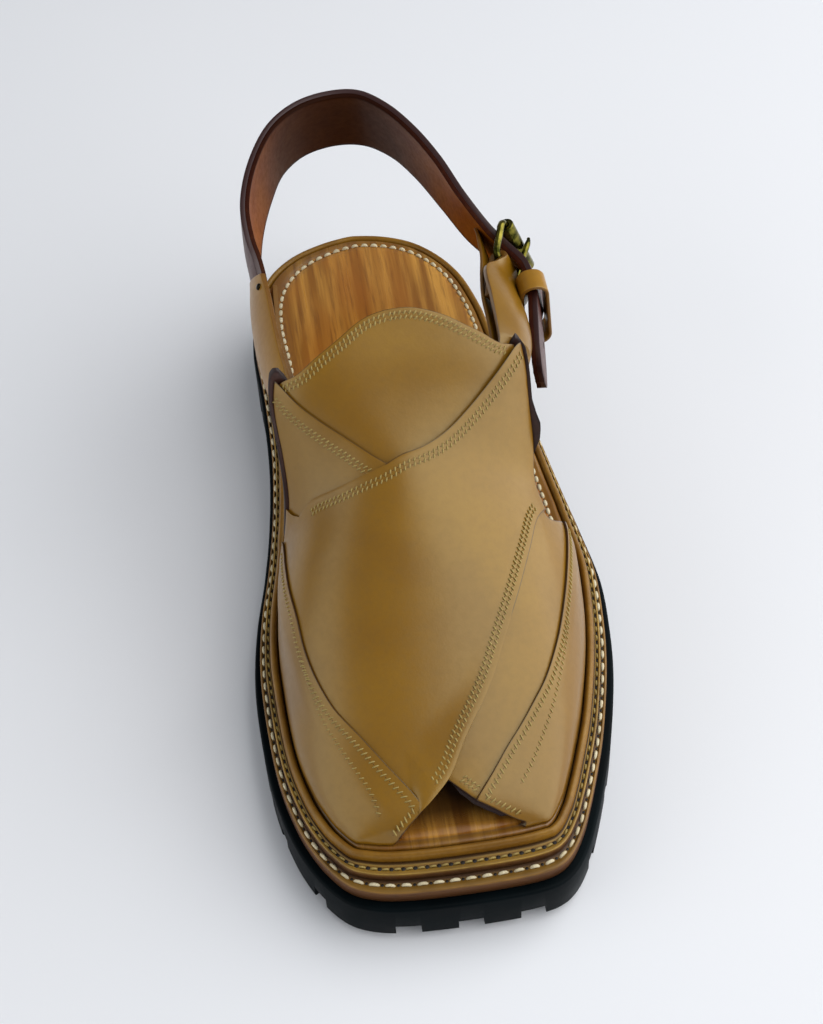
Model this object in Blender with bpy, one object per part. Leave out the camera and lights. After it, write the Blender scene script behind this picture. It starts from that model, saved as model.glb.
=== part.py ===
# Peshawari chappal, left shoe: lugged rubber unit sole, two stitched leather layers, a rolled rand,
# a leather footbed, a crossed-strap upper, and a heel strap that closes with a roller buckle.
# Metres, +Z up, floor at z = 0. Toe towards -Y, heel towards +Y, lateral (buckle) side towards +X.
import math

import bmesh
import bpy
import numpy as np
from mathutils import Vector

MM = 0.001
GAP = 0.3                  # clearance between neighbouring pieces, mm (all lengths below are mm)

# ---- sole stack -------------------------------------------------------------------------------
OUTSOLE_THICK = 15.0
MIDSOLE_THICK = 6.0
WELT_THICK = 4.0
FOOTBED_THICK = 3.5
HEEL_LIFT = 9.0            # extra height of the heel over the forefoot
TOE_SPRING = 3.5
LUG_DEPTH = 5.5
LUG_GROOVE = 5.0
LUG_PITCH = 16.5
FIRST_GROOVE = -100.0      # station of the frontmost side groove, and of the heel's frontmost one
HEEL_GROOVE = 68.0
TOE_NOTCH_WIDTH = 8.0
TOE_NOTCH_PITCH = 19.4
RAND_WIDTH = 3.2
RAND_HEIGHT = 4.2

# Outline of the outsole seen from above: y, x of the medial edge, x of the lateral edge.
OUTLINE = (
    (-140.5, -20.0, 18.0),
    (-138.3, -32.5, 26.0),
    (-134.2, -40.5, 31.0),
    (-125.5, -47.5, 36.6),
    (-116.6, -52.0, 40.6),
    (-107.5, -55.2, 44.2),
    (-90.0, -59.0, 50.4),
    (-63.0, -60.8, 57.2),
    (-44.5, -60.3, 59.8),
    (-25.0, -57.6, 60.9),
    (-4.5, -53.0, 58.7),
    (18.0, -49.0, 55.5),
    (42.0, -46.2, 51.4),
    (70.0, -45.6, 45.6),
    (96.0, -46.2, 41.5),
    (112.0, -44.0, 37.0),
    (124.0, -38.0, 30.0),
    (133.0, -28.5, 21.0),
    (138.5, -16.5, 10.0),
    (141.0, -5.0, -1.5),
)

# How far each layer stands in from the outsole's edge: at the toe, ball, waist and heel.
INSET = {
    "outsole": (0.0, 0.0, 0.0, 0.0),
    "midsole": (3.0, 2.5, 1.6, 1.0),
    "welt": (7.3, 4.6, 3.0, 2.0),
    "rand": (11.6, 6.6, 4.2, 2.6),
    "upper": (15.5, 9.6, 8.0, 8.0),
}
INSET_Y = (-60.0, 40.0, 90.0)     # stations of the ball, waist and heel values

# ---- upper ------------------------------------------------------------------------------------
UPPER_WALL = 3.0
CREST_SLANT = 1.15         # the crest climbs, so the wall is thicker there when measured upright
# Crest height, squareness of the arch (2 is an ellipse), and the two sides behind the fastened part.
UPPER = (
    # y, crest z, power, sideways shift of the crest
    (-125.0, 33.0, 2.2, -5.0),
    (-122.0, 37.0, 2.2, -5.0),
    (-117.0, 41.0, 2.2, -5.0),
    (-105.0, 46.5, 2.2, -5.0),
    (-85.0, 56.0, 2.15, -5.0),
    (-60.0, 67.5, 2.1, -5.0),
    (-40.0, 76.5, 2.0, -5.0),
    (-20.0, 86.0, 1.95, -4.0),
    (-12.0, 91.0, 2.3, -3.5),
    (-3.0, 98.5, 3.1, -3.0),
    (6.0, 107.5, 4.3, -2.0),
    (17.0, 118.0, 4.8, -2.0),
)
WING_REAR_Y = -17.0        # where the upper leaves the sole
UPPER_EDGE_Y = 12.0        # straps that start inside the upper come out from under it here
ARCH_SWEEP = 33.0          # how far the crest of the ankle edge lies behind the wings' rear edge
SWEEP_FROM = -85.0         # sections are upright in front of this station
ANKLE_HALF = (46.8, 43.0)  # medial and lateral half width of the ankle opening
# The ankle edge from the sole up to the crest: share of the quarter turn, share of the sweep.
MEDIAL_EDGE = (
    (0.0, 0.0), (0.18, 0.0), (0.31, 0.13), (0.40, 0.38), (0.48, 0.70),
    (0.55, 0.79), (0.66, 0.81), (0.80, 0.84), (0.90, 0.90), (1.0, 1.0),
)
# On the lateral side the crossed strap leaves the wing, so a bite shows between them.
LATERAL_EDGE = (
    (0.0, -0.04), (0.16, -0.10), (0.26, -0.22), (0.34, -0.33), (0.39, -0.36), (0.43, -0.10),
    (0.47, 0.36), (0.51, 0.70), (0.57, 0.79), (0.66, 0.81), (0.80, 0.84), (0.90, 0.90), (1.0, 1.0),
)
OPEN_APEX = (-5.0, -111.0)           # toe opening seen from above
OPEN_MEDIAL = (-25.5, -124.5)
OPEN_LATERAL = (17.5, -125.0)

# ---- ankle straps -----------------------------------------------------------------------------
TAB_THICK = 1.8
LINING_THICK = 1.5
BUCKLE_STRAP_THICK = 1.8
GUARD_THICK = 1.5
STRAP_THICK = 3.2
KEEPER_THICK = 1.2
# Bands are given by one face's top and bottom edge, station by station, and how far it bulges out.
MEDIAL_TAB = (
    # top x, y, z, bottom x, y, z, bulge
    (-29.0, -2.0, 97.0, -38.5, -3.0, 74.0, 3.0),
    (-31.5, 7.0, 98.5, -40.0, 6.0, 74.5, 3.5),
    (-34.5, 18.0, 100.0, -41.5, 17.0, 75.5, 3.5),
    (-37.0, 32.0, 101.0, -43.5, 32.0, 77.0, 3.5),
    (-38.5, 46.0, 101.0, -44.0, 46.0, 78.0, 3.5),
    (-40.0, 57.0, 100.5, -44.0, 57.0, 79.0, 3.0),
)
MEDIAL_LINING = (
    (-26.5, -2.0, 94.5, -36.0, -2.0, 75.0, 2.5),
    (-28.5, 7.0, 96.0, -37.5, 7.0, 75.0, 3.0),
    (-31.0, 18.0, 97.5, -38.5, 17.0, 76.0, 3.2),
    (-33.2, 32.0, 98.5, -39.8, 32.0, 77.5, 3.0),
    (-31.9, 43.0, 98.5, -36.7, 43.0, 79.0, 2.6),
    (-32.4, 54.0, 98.5, -36.2, 54.0, 80.5, 2.0),
)
HEEL_STRAP = (
    (-36.2, 44.0, 98.5, -41.0, 44.0, 79.5, 3.0),
    (-37.6, 55.0, 98.5, -41.4, 56.0, 80.5, 2.6),
    (-41.0, 64.0, 101.0, -43.0, 66.0, 81.0, 2.2),
    (-43.4, 73.0, 102.5, -42.0, 77.0, 82.0, 1.5),
    (-43.6, 87.0, 105.0, -40.0, 93.0, 83.0, 1.0),
    (-39.0, 104.0, 108.5, -35.0, 112.0, 83.0, 0.6),
    (-30.0, 120.5, 111.0, -28.0, 128.5, 83.0, 0.5),
    (-19.5, 128.5, 112.5, -18.0, 138.0, 83.0, 0.5),
    (-7.5, 131.5, 113.0, -5.0, 142.0, 82.5, 0.5),
    (3.0, 130.0, 113.0, 6.0, 139.5, 82.5, 0.5),
    (12.0, 122.5, 112.0, 15.5, 130.5, 82.5, 0.6),
    (20.0, 111.0, 110.0, 23.0, 117.0, 82.0, 0.8),
    (27.0, 97.0, 107.0, 30.0, 100.0, 80.5, 1.0),
    (33.0, 82.0, 102.5, 37.0, 83.0, 79.0, 1.0),
    (39.8, 70.0, 97.0, 46.0, 70.0, 77.5, 0.4),
    (42.8, 66.0, 95.2, 49.4, 66.0, 76.2, 0.4),
    (46.0, 61.0, 94.2, 53.0, 61.0, 74.8, 0.4),
    (49.4, 55.0, 93.4, 56.0, 55.0, 73.8, 0.4),
    (50.9, 46.0, 90.6, 53.4, 46.0, 71.2, 0.4),
    (49.4, 34.0, 88.6, 52.2, 34.0, 69.0, 0.4),
    (47.2, 19.0, 86.5, 50.2, 19.0, 66.8, 0.4),
)
# The tan strap that holds the buckle: its outer leg, and its inner leg after the fold.
BUCKLE_OUTER_LEG = (
    (26.5, -3.0, 100.0, 39.0, -3.0, 76.0, 4.0),
    (29.0, 6.0, 101.5, 40.5, 6.0, 76.0, 4.0),
    (30.5, 17.0, 102.5, 42.0, 17.0, 76.0, 4.0),
    (32.5, 32.0, 101.5, 43.8, 32.0, 75.5, 3.5),
    (36.6, 48.0, 99.2, 44.6, 48.0, 74.5, 1.5),
    (41.8, 53.5, 95.8, 49.6, 53.5, 74.2, 0.4),
)
BUCKLE_INNER_LEG = (
    (34.2, 48.0, 95.5, 41.4, 48.0, 73.5, -1.0),
    (31.4, 36.0, 97.0, 40.4, 36.0, 74.0, -1.8),
)
BUCKLE_GUARD = (
    (24.5, -3.0, 97.0, 35.5, -3.0, 76.0, 2.0),
    (26.0, 8.0, 98.0, 36.5, 8.0, 76.0, 2.0),
    (27.5, 22.0, 98.0, 37.8, 22.0, 75.5, 1.6),
    (29.8, 36.0, 96.5, 38.5, 36.0, 74.5, 1.2),
    (32.6, 48.0, 95.0, 39.8, 48.0, 74.0, 0.7),
    (35.6, 57.0, 95.0, 42.2, 57.0, 75.0, 0.5),
    (36.2, 65.0, 93.5, 40.8, 65.0, 77.5, 0.4),
    (35.8, 71.0, 92.0, 38.4, 71.0, 81.5, 0.3),
    (34.2, 76.0, 90.0, 35.0, 76.0, 87.0, 0.1),
)

# ---- buckle -----------------------------------------------------------------------------------
BUCKLE_TILT = math.radians(20.4)     # its bar and roller lean in at the top by this much
BAR_CENTRE = (44.0, 57.0, 83.0)
ROLLER_CENTRE = (48.5, 70.0, 85.5)
WIRE_RADIUS = 1.25
FRAME_HALF = 13.4          # from the middle of the buckle to its side wires
FRAME_CORNER = 2.2
FOLD_HALF = 11.0           # half the width of the strap where it is folded round the bar
ROLLER_RADIUS = 3.0
ROLLER_HALF = 11.0
ROLLER_SIDES = 20
PRONG_RADIUS = 1.0
PRONG_TIP = 2.4            # how far the prong runs on past the roller's middle
PRONG_SLOT = 3.4           # width of the slots that the prong goes through
KEEPER_CENTRE = (50.9, 45.5, 79.4)
KEEPER_INSIDE = (7.4, 25.0)          # across and up
KEEPER_WIDTH = 9.0
KEEPER_TILT = math.radians(4.0)


def spline(rows, samples, closed=False):
    """Centripetal Catmull-Rom curve through rows, as an array of samples rows."""
    points = [np.array(row, float) for row in rows]
    if closed:
        points = [points[-1]] + points + points[:2]
    else:
        points = [2 * points[0] - points[1]] + points + [2 * points[-1] - points[-2]]
    spans = len(points) - 3
    curve = []
    for sample in range(samples):
        place = sample * spans / (samples if closed else samples - 1)
        span = min(int(place), spans - 1)
        p0, p1, p2, p3 = points[span:span + 4]
        t1 = max(np.linalg.norm(p1[:3] - p0[:3]), 1e-6) ** 0.5
        t2 = t1 + max(np.linalg.norm(p2[:3] - p1[:3]), 1e-6) ** 0.5
        t3 = t2 + max(np.linalg.norm(p3[:3] - p2[:3]), 1e-6) ** 0.5
        t = t1 + (place - span) * (t2 - t1)
        a1 = p0 + (p1 - p0) * t / t1
        a2 = p1 + (p2 - p1) * (t - t1) / (t2 - t1)
        a3 = p2 + (p3 - p2) * (t - t2) / (t3 - t2)
        b1 = a1 + (a2 - a1) * t / t2
        b2 = a2 + (a3 - a2) * (t - t1) / (t3 - t1)
        curve.append(b1 + (b2 - b1) * (t - t1) / (t2 - t1))
    return np.array(curve)


def smooth(low, high, value):
    t = np.clip((value - low) / (high - low), 0.0, 1.0)
    return t * t * (3.0 - 2.0 * t)


def lift(y):
    """Height that the heel lift and the toe spring add to every layer at station y."""
    spring = TOE_SPRING * np.clip((-88.0 - y) / 52.0, 0.0, 1.2) ** 1.7
    return HEEL_LIFT * smooth(5.0, 85.0, y) + spring


def outline_ring(samples=360):
    medial = [(x_medial, y) for y, x_medial, _ in OUTLINE]
    lateral = [(x_lateral, y) for y, _, x_lateral in OUTLINE]
    return spline(medial[::-1] + lateral, samples, closed=True)


RING = outline_ring()


def inset_ring(layer, extra=0.0):
    """The outline of a layer: the outsole's outline moved in along its normals."""
    toe, ball, waist, heel = INSET[layer]
    ahead, behind = np.roll(RING, -1, axis=0), np.roll(RING, 1, axis=0)
    tangent = ahead - behind
    tangent /= np.linalg.norm(tangent, axis=1)[:, None]
    inward = np.stack([-tangent[:, 1], tangent[:, 0]], axis=1)
    side = np.interp(RING[:, 1], INSET_Y, (ball, waist, heel))
    end = np.where(RING[:, 1] < 0, toe, heel)
    return RING + inward * (np.stack([side, end], axis=1) + extra)


def edges_at(layer, stations, extra=0.0):
    """Medial and lateral x of a layer at the given y stations."""
    ring = inset_ring(layer, extra)
    toe, heel = int(np.argmin(ring[:, 1])), int(np.argmax(ring[:, 1]))
    one = np.roll(ring, -toe, axis=0)
    turn = (heel - toe) % len(ring)
    first, second = one[:turn + 1], np.vstack([one[turn:], one[:1]])[::-1]
    xs = [np.interp(stations, side[:, 1], side[:, 0]) for side in (first, second)]
    return np.minimum(*xs), np.maximum(*xs)


def y_range(layer, extra=0.0):
    ring = inset_ring(layer, extra)
    return ring[:, 1].min(), ring[:, 1].max()


def stations_of(layer, count, extra=0.0):
    """Stations from toe to heel, closer together at both ends."""
    low, high = y_range(layer, extra)
    t = np.linspace(0.0, 1.0, count)
    eased = 0.35 * t + 0.65 * (0.5 - 0.5 * np.cos(math.pi * t))
    return low + 0.15 + (high - low - 0.3) * eased


def new_material(name, colour, roughness, metallic=0.0):
    material = bpy.data.materials.new(name)
    material.use_nodes = True
    shader = material.node_tree.nodes["Principled BSDF"]
    shader.inputs["Base Color"].default_value = (*colour, 1.0)
    shader.inputs["Roughness"].default_value = roughness
    shader.inputs["Metallic"].default_value = metallic
    return material


def add_mesh(name, verts, faces, material, collection, smooth_angle=40.0):
    mesh = bpy.data.meshes.new(name)
    mesh.from_pydata([tuple(float(c) * MM for c in v) for v in verts], [], faces)
    body = bmesh.new()
    body.from_mesh(mesh)
    bmesh.ops.recalc_face_normals(body, faces=body.faces)
    body.to_mesh(mesh)
    body.free()
    mesh.shade_smooth()
    mesh.set_sharp_from_angle(angle=math.radians(smooth_angle))
    if material is not None:
        mesh.materials.append(material)
    piece = bpy.data.objects.new(name, mesh)
    collection.objects.link(piece)
    return piece


def split(corners, verts):
    """A quad as two triangles that share its shorter diagonal."""
    a, b, c, d = corners
    if math.dist(verts[a], verts[c]) <= math.dist(verts[b], verts[d]):
        return (a, b, c), (a, c, d)
    return (a, b, d), (b, c, d)


def loft(name, sections, material, collection, closed=False):
    """Skin closed sections of equal point count; the ends are capped unless closed."""
    count, width = len(sections), len(sections[0])
    verts = [point for section in sections for point in section]
    faces = []
    for row in range(count if closed else count - 1):
        here, there = row * width, ((row + 1) % count) * width
        for column in range(width):
            after = (column + 1) % width
            corners = (here + column, here + after, there + after, there + column)
            faces.extend(split(corners, verts))
    if not closed:
        # A section runs out along one face and back along the other, so its cap is a strip of quads.
        for start in (0, (count - 1) * width):
            for column in range(width // 2 - 1):
                back = width - 1 - column
                corners = (start + column, start + column + 1, start + back - 1, start + back)
                faces.extend(split(corners, verts))
    return add_mesh(name, verts, faces, material, collection)


def plate(name, layer, low, high, count, material, collection, extra=0.0, draft=0.0, arched=False):
    """A flat layer of the sole: its outline, between two heights that follow the lift."""
    stations = stations_of(layer, count, extra)
    medial, lateral = edges_at(layer, stations, extra)
    sections = []
    for y, x_low, x_high in zip(stations, medial, lateral):
        bottom = arch_height(y) if arched else low + lift(y)
        top = high + lift(y)
        inner = min(draft, 0.25 * (x_high - x_low))
        sections.append([(x_low, y, bottom), (x_high, y, bottom),
                         (x_high - inner, y, top), (x_low + inner, y, top)])
    return loft(name, sections, material, collection)


def arch_height(y):
    """Underside of the outsole: toe spring, flat forefoot, arch and flat heel."""
    spring = TOE_SPRING * np.clip((-98.0 - y) / 42.0, 0.0, 1.2) ** 1.7
    waist = 8.5 * smooth(2.0, 22.0, y) * (1.0 - smooth(51.0, 53.0, y))
    back = 2.0 * np.clip((y - 131.0) / 10.0, 0.0, 1.0) ** 1.5
    return float(spring + waist + back)


def box_cutter(body, centre, size, turn=0.0):
    made = bmesh.ops.create_cube(body, size=1.0)["verts"]
    for vert in made:
        local = Vector((vert.co.x * size[0], vert.co.y * size[1], vert.co.z * size[2]))
        spun = Vector((local.x * math.cos(turn) - local.y * math.sin(turn),
                       local.x * math.sin(turn) + local.y * math.cos(turn), local.z))
        vert.co = (spun + Vector(centre)) * MM


def cutter_object(name, body, collection):
    mesh = bpy.data.meshes.new(name)
    body.to_mesh(mesh)
    body.free()
    cutter = bpy.data.objects.new(name, mesh)
    cutter.hide_render = True
    cutter.display_type = "WIRE"
    collection.objects.link(cutter)
    return cutter


def cut(piece, cutter):
    modifier = piece.modifiers.new(cutter.name, "BOOLEAN")
    modifier.operation = "DIFFERENCE"
    modifier.solver = "EXACT"
    modifier.object = cutter


def build_sole(rubber, welt_leather, rand_leather, bed_leather, parts, cutters):
    outsole = plate("outsole", "outsole", 0.0, OUTSOLE_THICK, 56, rubber, parts, draft=0.8, arched=True)

    # Side grooves leave the side lugs, short of the centre.
    sides = bmesh.new()
    forefoot = [FIRST_GROOVE + LUG_PITCH * step for step in range(7)]
    heel = [HEEL_GROOVE + LUG_PITCH * step for step in range(4)]
    for y in forefoot + heel:
        medial, lateral = (float(edge[0]) for edge in edges_at("outsole", np.array([y])))
        reach = 17.0
        for edge, side in ((medial, -1.0), (lateral, 1.0)):
            centre = (edge - side * (reach / 2 - 6.0), y, 0.0)
            box_cutter(sides, centre, (reach + 12.0, LUG_GROOVE, 2 * LUG_DEPTH), side * 0.16)
    cut(outsole, cutter_object("side_grooves", sides, cutters))

    # Notches round the toe.
    toe = bmesh.new()
    for step in (-1, 0, 1):
        centre = (-3.5 + step * TOE_NOTCH_PITCH, -141.0, 1.5)
        box_cutter(toe, centre, (TOE_NOTCH_WIDTH, 26.0, 2 * LUG_DEPTH + 3.0))
    for x, y, turn in ((-50.0, -125.0, 0.9), (40.0, -126.0, -0.9)):
        box_cutter(toe, (x, y, 1.0), (TOE_NOTCH_WIDTH - 2.0, 22.0, 2 * LUG_DEPTH + 2.0), -turn)
    cut(outsole, cutter_object("toe_notches", toe, cutters))

    # Centre grooves, staggered between the side grooves.
    centre = bmesh.new()
    for count, first, width in ((6, FIRST_GROOVE, 46.0), (3, HEEL_GROOVE, 34.0)):
        for step in range(count):
            y = first + LUG_PITCH * (step + 0.5)
            box_cutter(centre, (-2.0, y, 0.0), (width, LUG_GROOVE, 2 * LUG_DEPTH - 2.0))
    cut(outsole, cutter_object("centre_grooves", centre, cutters))

    level = OUTSOLE_THICK + GAP
    plate("midsole", "midsole", level, level + MIDSOLE_THICK - GAP, 48, welt_leather, parts)
    level = OUTSOLE_THICK + MIDSOLE_THICK + GAP
    plate("welt", "welt", level, level + WELT_THICK - GAP, 48, welt_leather, parts)
    level += WELT_THICK
    plate("footbed", "rand", level, level + FOOTBED_THICK - GAP, 48, bed_leather, parts,
          extra=RAND_WIDTH + GAP)
    build_rand(level, rand_leather, parts)


def build_rand(level, material, collection):
    """The rolled bead that stands on the welt round the footbed."""
    outer, inner = inset_ring("rand")[::4], inset_ring("rand", RAND_WIDTH)[::4]
    # across (0 outer, 1 inner), height
    profile = ((0.0, 0.0), (0.0, 0.45), (0.18, 0.82), (0.5, 1.0), (0.82, 0.82), (1.0, 0.45), (1.0, 0.0))
    sections = []
    for one, two in zip(outer, inner):
        section = []
        for across, height in profile:
            x, y = one + (two - one) * across
            section.append((x, y, level + float(lift(y)) + height * RAND_HEIGHT))
        sections.append(section)
    loft("rand", sections, material, collection, closed=True)


UPPER_Y0 = y_range("upper")[0] + 0.4
UPPER_BASE = OUTSOLE_THICK + MIDSOLE_THICK + WELT_THICK + FOOTBED_THICK + 2 * GAP


UPPER_FINE = spline(UPPER, 240)
MEDIAL_FINE = spline(MEDIAL_EDGE, 120)
LATERAL_FINE = spline(LATERAL_EDGE, 160)


def upper_section(y, depth):
    """Medial x, lateral x, base z, crest z, power and crest x at station y, depth inside the outer face."""
    crest, power, crest_x = (float(np.interp(y, UPPER_FINE[:, 0], UPPER_FINE[:, k])) for k in (1, 2, 3))
    medial, lateral = (float(edge[0]) for edge in edges_at("upper", np.array([min(y, WING_REAR_Y)])))
    blend = float(smooth(WING_REAR_Y - 10.0, 12.0, y))
    medial += (-ANKLE_HALF[0] - medial) * blend
    lateral += (ANKLE_HALF[1] - lateral) * blend
    base = UPPER_BASE + float(lift(min(y, WING_REAR_Y)))
    return medial + depth, lateral - depth, base, crest - depth * CREST_SLANT, power, crest_x


def upper_point(station, around, depth=0.0):
    """A point of the upper; station is its y on the sole, around runs 0 to pi, depth goes inwards."""
    share = float(np.clip((station - SWEEP_FROM) / (WING_REAR_Y - SWEEP_FROM), 0.0, 1.0))
    climb = 1.0 - abs(around / (0.5 * math.pi) - 1.0)
    edge = MEDIAL_FINE if around < 0.5 * math.pi else LATERAL_FINE
    y = station + ARCH_SWEEP * share * float(np.interp(climb, edge[:, 0], edge[:, 1]))
    medial, lateral, base, crest, power, crest_x = upper_section(y, depth)
    cosine = math.cos(around)
    swing = math.copysign(abs(cosine) ** (2.0 / power), cosine)
    height = max(math.sin(around), 0.0) ** (2.0 / power)
    half = crest_x - medial if swing > 0 else lateral - crest_x
    y += depth * float(smooth(UPPER_Y0 + 25.0, UPPER_Y0, station))
    return (crest_x - swing * half, y, base + (crest - base) * height)


def build_upper(leather, parts, cutters, rows=27, columns=32):
    stations = UPPER_Y0 + (WING_REAR_Y - UPPER_Y0) * np.linspace(0.0, 1.0, rows) ** 1.15
    spread = np.linspace(-1.0, 1.0, columns + 1)
    turns = 0.5 * math.pi * (1.0 + np.sign(spread) * np.abs(spread) ** 1.15)
    sections = []
    for y in stations:
        outer = [upper_point(float(y), turn) for turn in turns]
        inner = [upper_point(float(y), turn, UPPER_WALL) for turn in turns]
        sections.append(outer + inner[::-1])
    upper = loft("upper", sections, leather, parts)

    # The toe opening: a wedge with its point on the instep.
    apex, medial, lateral = (np.array(p) for p in (OPEN_APEX, OPEN_MEDIAL, OPEN_LATERAL))
    far_medial, far_lateral = apex + (medial - apex) * 1.8, apex + (lateral - apex) * 1.8
    corners = (apex, far_medial, far_lateral)
    verts = [(x, y, z) for z in (20.0, 70.0) for x, y in corners]
    faces = [(0, 1, 2), (3, 4, 5), (0, 1, 4, 3), (1, 2, 5, 4), (2, 0, 3, 5)]
    opening = add_mesh("toe_opening", verts, faces, None, cutters)
    opening.hide_render = True
    opening.display_type = "WIRE"
    cut(upper, opening)
    return upper


def under_upper(point, depth):
    """Move a point in, towards the middle of the foot, until it lies depth below the upper's face."""
    x, y, z = point
    medial, lateral, base, crest, power, crest_x = upper_section(float(y), depth)
    half = crest_x - medial if x < crest_x else lateral - crest_x
    reach = (abs(x - crest_x) / half) ** power + (max(z - base, 0.0) / (crest - base)) ** power
    scale = min(reach ** (-1.0 / power), 1.0)
    return np.array([crest_x + (x - crest_x) * scale, y, base + (z - base) * scale])


def band(name, rows, thickness, facing, material, collection, samples, across=5, tucked=None):
    """A leather band: rows give its outer face, facing (1 or -1) the side that this face is on.

    Where tucked is given, stations in front of UPPER_EDGE_Y stay that far below the upper's face.
    """
    curve = spline(rows, samples)
    top, bottom, bulge = curve[:, 0:3], curve[:, 3:6], curve[:, 6]
    along = np.gradient(0.5 * (top + bottom), axis=0)
    normal = np.cross(along, top - bottom) * facing
    normal /= np.linalg.norm(normal, axis=1)[:, None]
    sections = []
    for index in range(samples):
        outer, inner = [], []
        width = np.linalg.norm(bottom[index] - top[index])
        down = (bottom[index] - top[index]) / width
        for step in range(across):
            t = step / (across - 1)
            out = top[index] + (bottom[index] - top[index]) * t
            out = out + normal[index] * bulge[index] * 4 * t * (1 - t)
            away = normal[index] - down * bulge[index] * 4 * (1 - 2 * t) / max(width, 1.0)
            under = out - away / np.linalg.norm(away) * thickness
            if tucked is not None and out[1] < UPPER_EDGE_Y:
                out = under_upper(out, tucked)
                under = under_upper(under, tucked + thickness)
            outer.append(out)
            inner.append(under)
        sections.append(outer + inner[::-1])
    return loft(name, sections, material, collection)


def buckle_point(centre, up, out=0.0, back=0.0):
    """A point by the buckle: up along its bar, out from the foot, and back towards the heel."""
    x, y, z = centre
    cosine, sine = math.cos(BUCKLE_TILT), math.sin(BUCKLE_TILT)
    return (x - up * sine + out * cosine, y + back, z + up * cosine + out * sine)


def fold_rows(steps=6):
    """Rows of the strap's outer face where it turns round the bar, from its outer to its inner leg."""
    radius = WIRE_RADIUS + GAP + BUCKLE_STRAP_THICK
    rows = []
    for step in range(steps + 1):
        angle = math.pi * (0.5 - step / steps)
        out, back = radius * math.sin(angle), radius * math.cos(angle)
        top = buckle_point(BAR_CENTRE, FOLD_HALF, out, back)
        bottom = buckle_point(BAR_CENTRE, -FOLD_HALF, out, back)
        rows.append((*top, *bottom, 0.0))
    return tuple(rows)


def wire(name, path, radius, cyclic, material, collection, resolution=2, radii=None):
    """A round wire through path, as a mesh with welded caps."""
    curve = bpy.data.curves.new(name, "CURVE")
    curve.dimensions = "3D"
    curve.bevel_depth = radius * MM
    curve.bevel_resolution = resolution
    curve.use_fill_caps = True
    strand = curve.splines.new("POLY")
    strand.points.add(len(path) - 1)
    strand.use_cyclic_u = cyclic
    for index, (point, place) in enumerate(zip(strand.points, path)):
        point.co = (*(float(c) * MM for c in place), 1.0)
        point.radius = 1.0 if radii is None else radii[index]
    drawn = bpy.data.objects.new(name + "_curve", curve)
    collection.objects.link(drawn)
    bpy.context.view_layer.update()
    mesh = bpy.data.meshes.new_from_object(drawn.evaluated_get(bpy.context.evaluated_depsgraph_get()))
    bpy.data.objects.remove(drawn, do_unlink=True)
    body = bmesh.new()
    body.from_mesh(mesh)
    bmesh.ops.remove_doubles(body, verts=body.verts, dist=1e-6)
    bmesh.ops.recalc_face_normals(body, faces=body.faces)
    body.to_mesh(mesh)
    body.free()
    mesh.shade_smooth()
    mesh.materials.clear()
    mesh.materials.append(material)
    piece = bpy.data.objects.new(name, mesh)
    collection.objects.link(piece)
    return piece


def buckle_cutter(name, up, out, back, size, collection):
    """A box in the buckle's own directions; size runs out, back and up."""
    body = bmesh.new()
    for vert in bmesh.ops.create_cube(body, size=1.0)["verts"]:
        local = (up + vert.co.z * size[2], out + vert.co.x * size[0], back + vert.co.y * size[1])
        vert.co = Vector(buckle_point(BAR_CENTRE, *local)) * MM
    return cutter_object(name, body, collection)


def rounded_rectangle(half_a, half_b, corner, steps=4):
    """Points of a rectangle with round corners, as pairs, counter-clockwise."""
    points = []
    for quarter, (side_a, side_b) in enumerate(((1, 1), (-1, 1), (-1, -1), (1, -1))):
        for step in range(steps):
            turn = 0.5 * math.pi * (quarter + step / (steps - 1))
            points.append((side_a * (half_a - corner) + corner * math.cos(turn),
                           side_b * (half_b - corner) + corner * math.sin(turn)))
    return points


def build_buckle(brass, collection):
    """Frame, roller and prong of the roller buckle."""
    bar, roller = np.array(BAR_CENTRE), np.array(ROLLER_CENTRE)
    middle, run = 0.5 * (bar + roller), np.linalg.norm(roller - bar)
    heading = (roller - bar) / run
    upward = np.array(buckle_point((0.0, 0.0, 0.0), 1.0))
    outline = rounded_rectangle(0.5 * run, FRAME_HALF, FRAME_CORNER)
    path = [middle + heading * along + upward * up for along, up in outline]
    wire("buckle_frame", path, WIRE_RADIUS, True, brass, collection)

    sections = []
    for step in range(ROLLER_SIDES):
        angle = 2.0 * math.pi * step / ROLLER_SIDES
        section = []
        for radius, up in ((ROLLER_RADIUS, -ROLLER_HALF), (ROLLER_RADIUS, ROLLER_HALF),
                           (WIRE_RADIUS + GAP, ROLLER_HALF), (WIRE_RADIUS + GAP, -ROLLER_HALF)):
            out, back = radius * math.sin(angle), radius * math.cos(angle)
            section.append(buckle_point(ROLLER_CENTRE, up, out, back))
        sections.append(section)
    loft("buckle_roller", sections, brass, collection, closed=True)

    # The prong turns round the bar and runs out over the roller.
    turn_radius = WIRE_RADIUS + GAP + PRONG_RADIUS
    path = []
    for degrees in range(-80, -261, -30):
        angle = math.radians(degrees)
        out, back = turn_radius * math.sin(angle), turn_radius * math.cos(angle)
        path.append(buckle_point(BAR_CENTRE, 0.0, out, back))
    rest = ROLLER_RADIUS + PRONG_RADIUS + 2.6 * GAP
    path.append(np.array(buckle_point(ROLLER_CENTRE, 0.0, rest, 0.0)))
    path.append(np.array(buckle_point(ROLLER_CENTRE, 0.0, rest + 0.2, PRONG_TIP)))
    radii = [1.0] * (len(path) - 1) + [0.6]
    wire("buckle_prong", path, PRONG_RADIUS, False, brass, collection, radii=radii)


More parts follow.
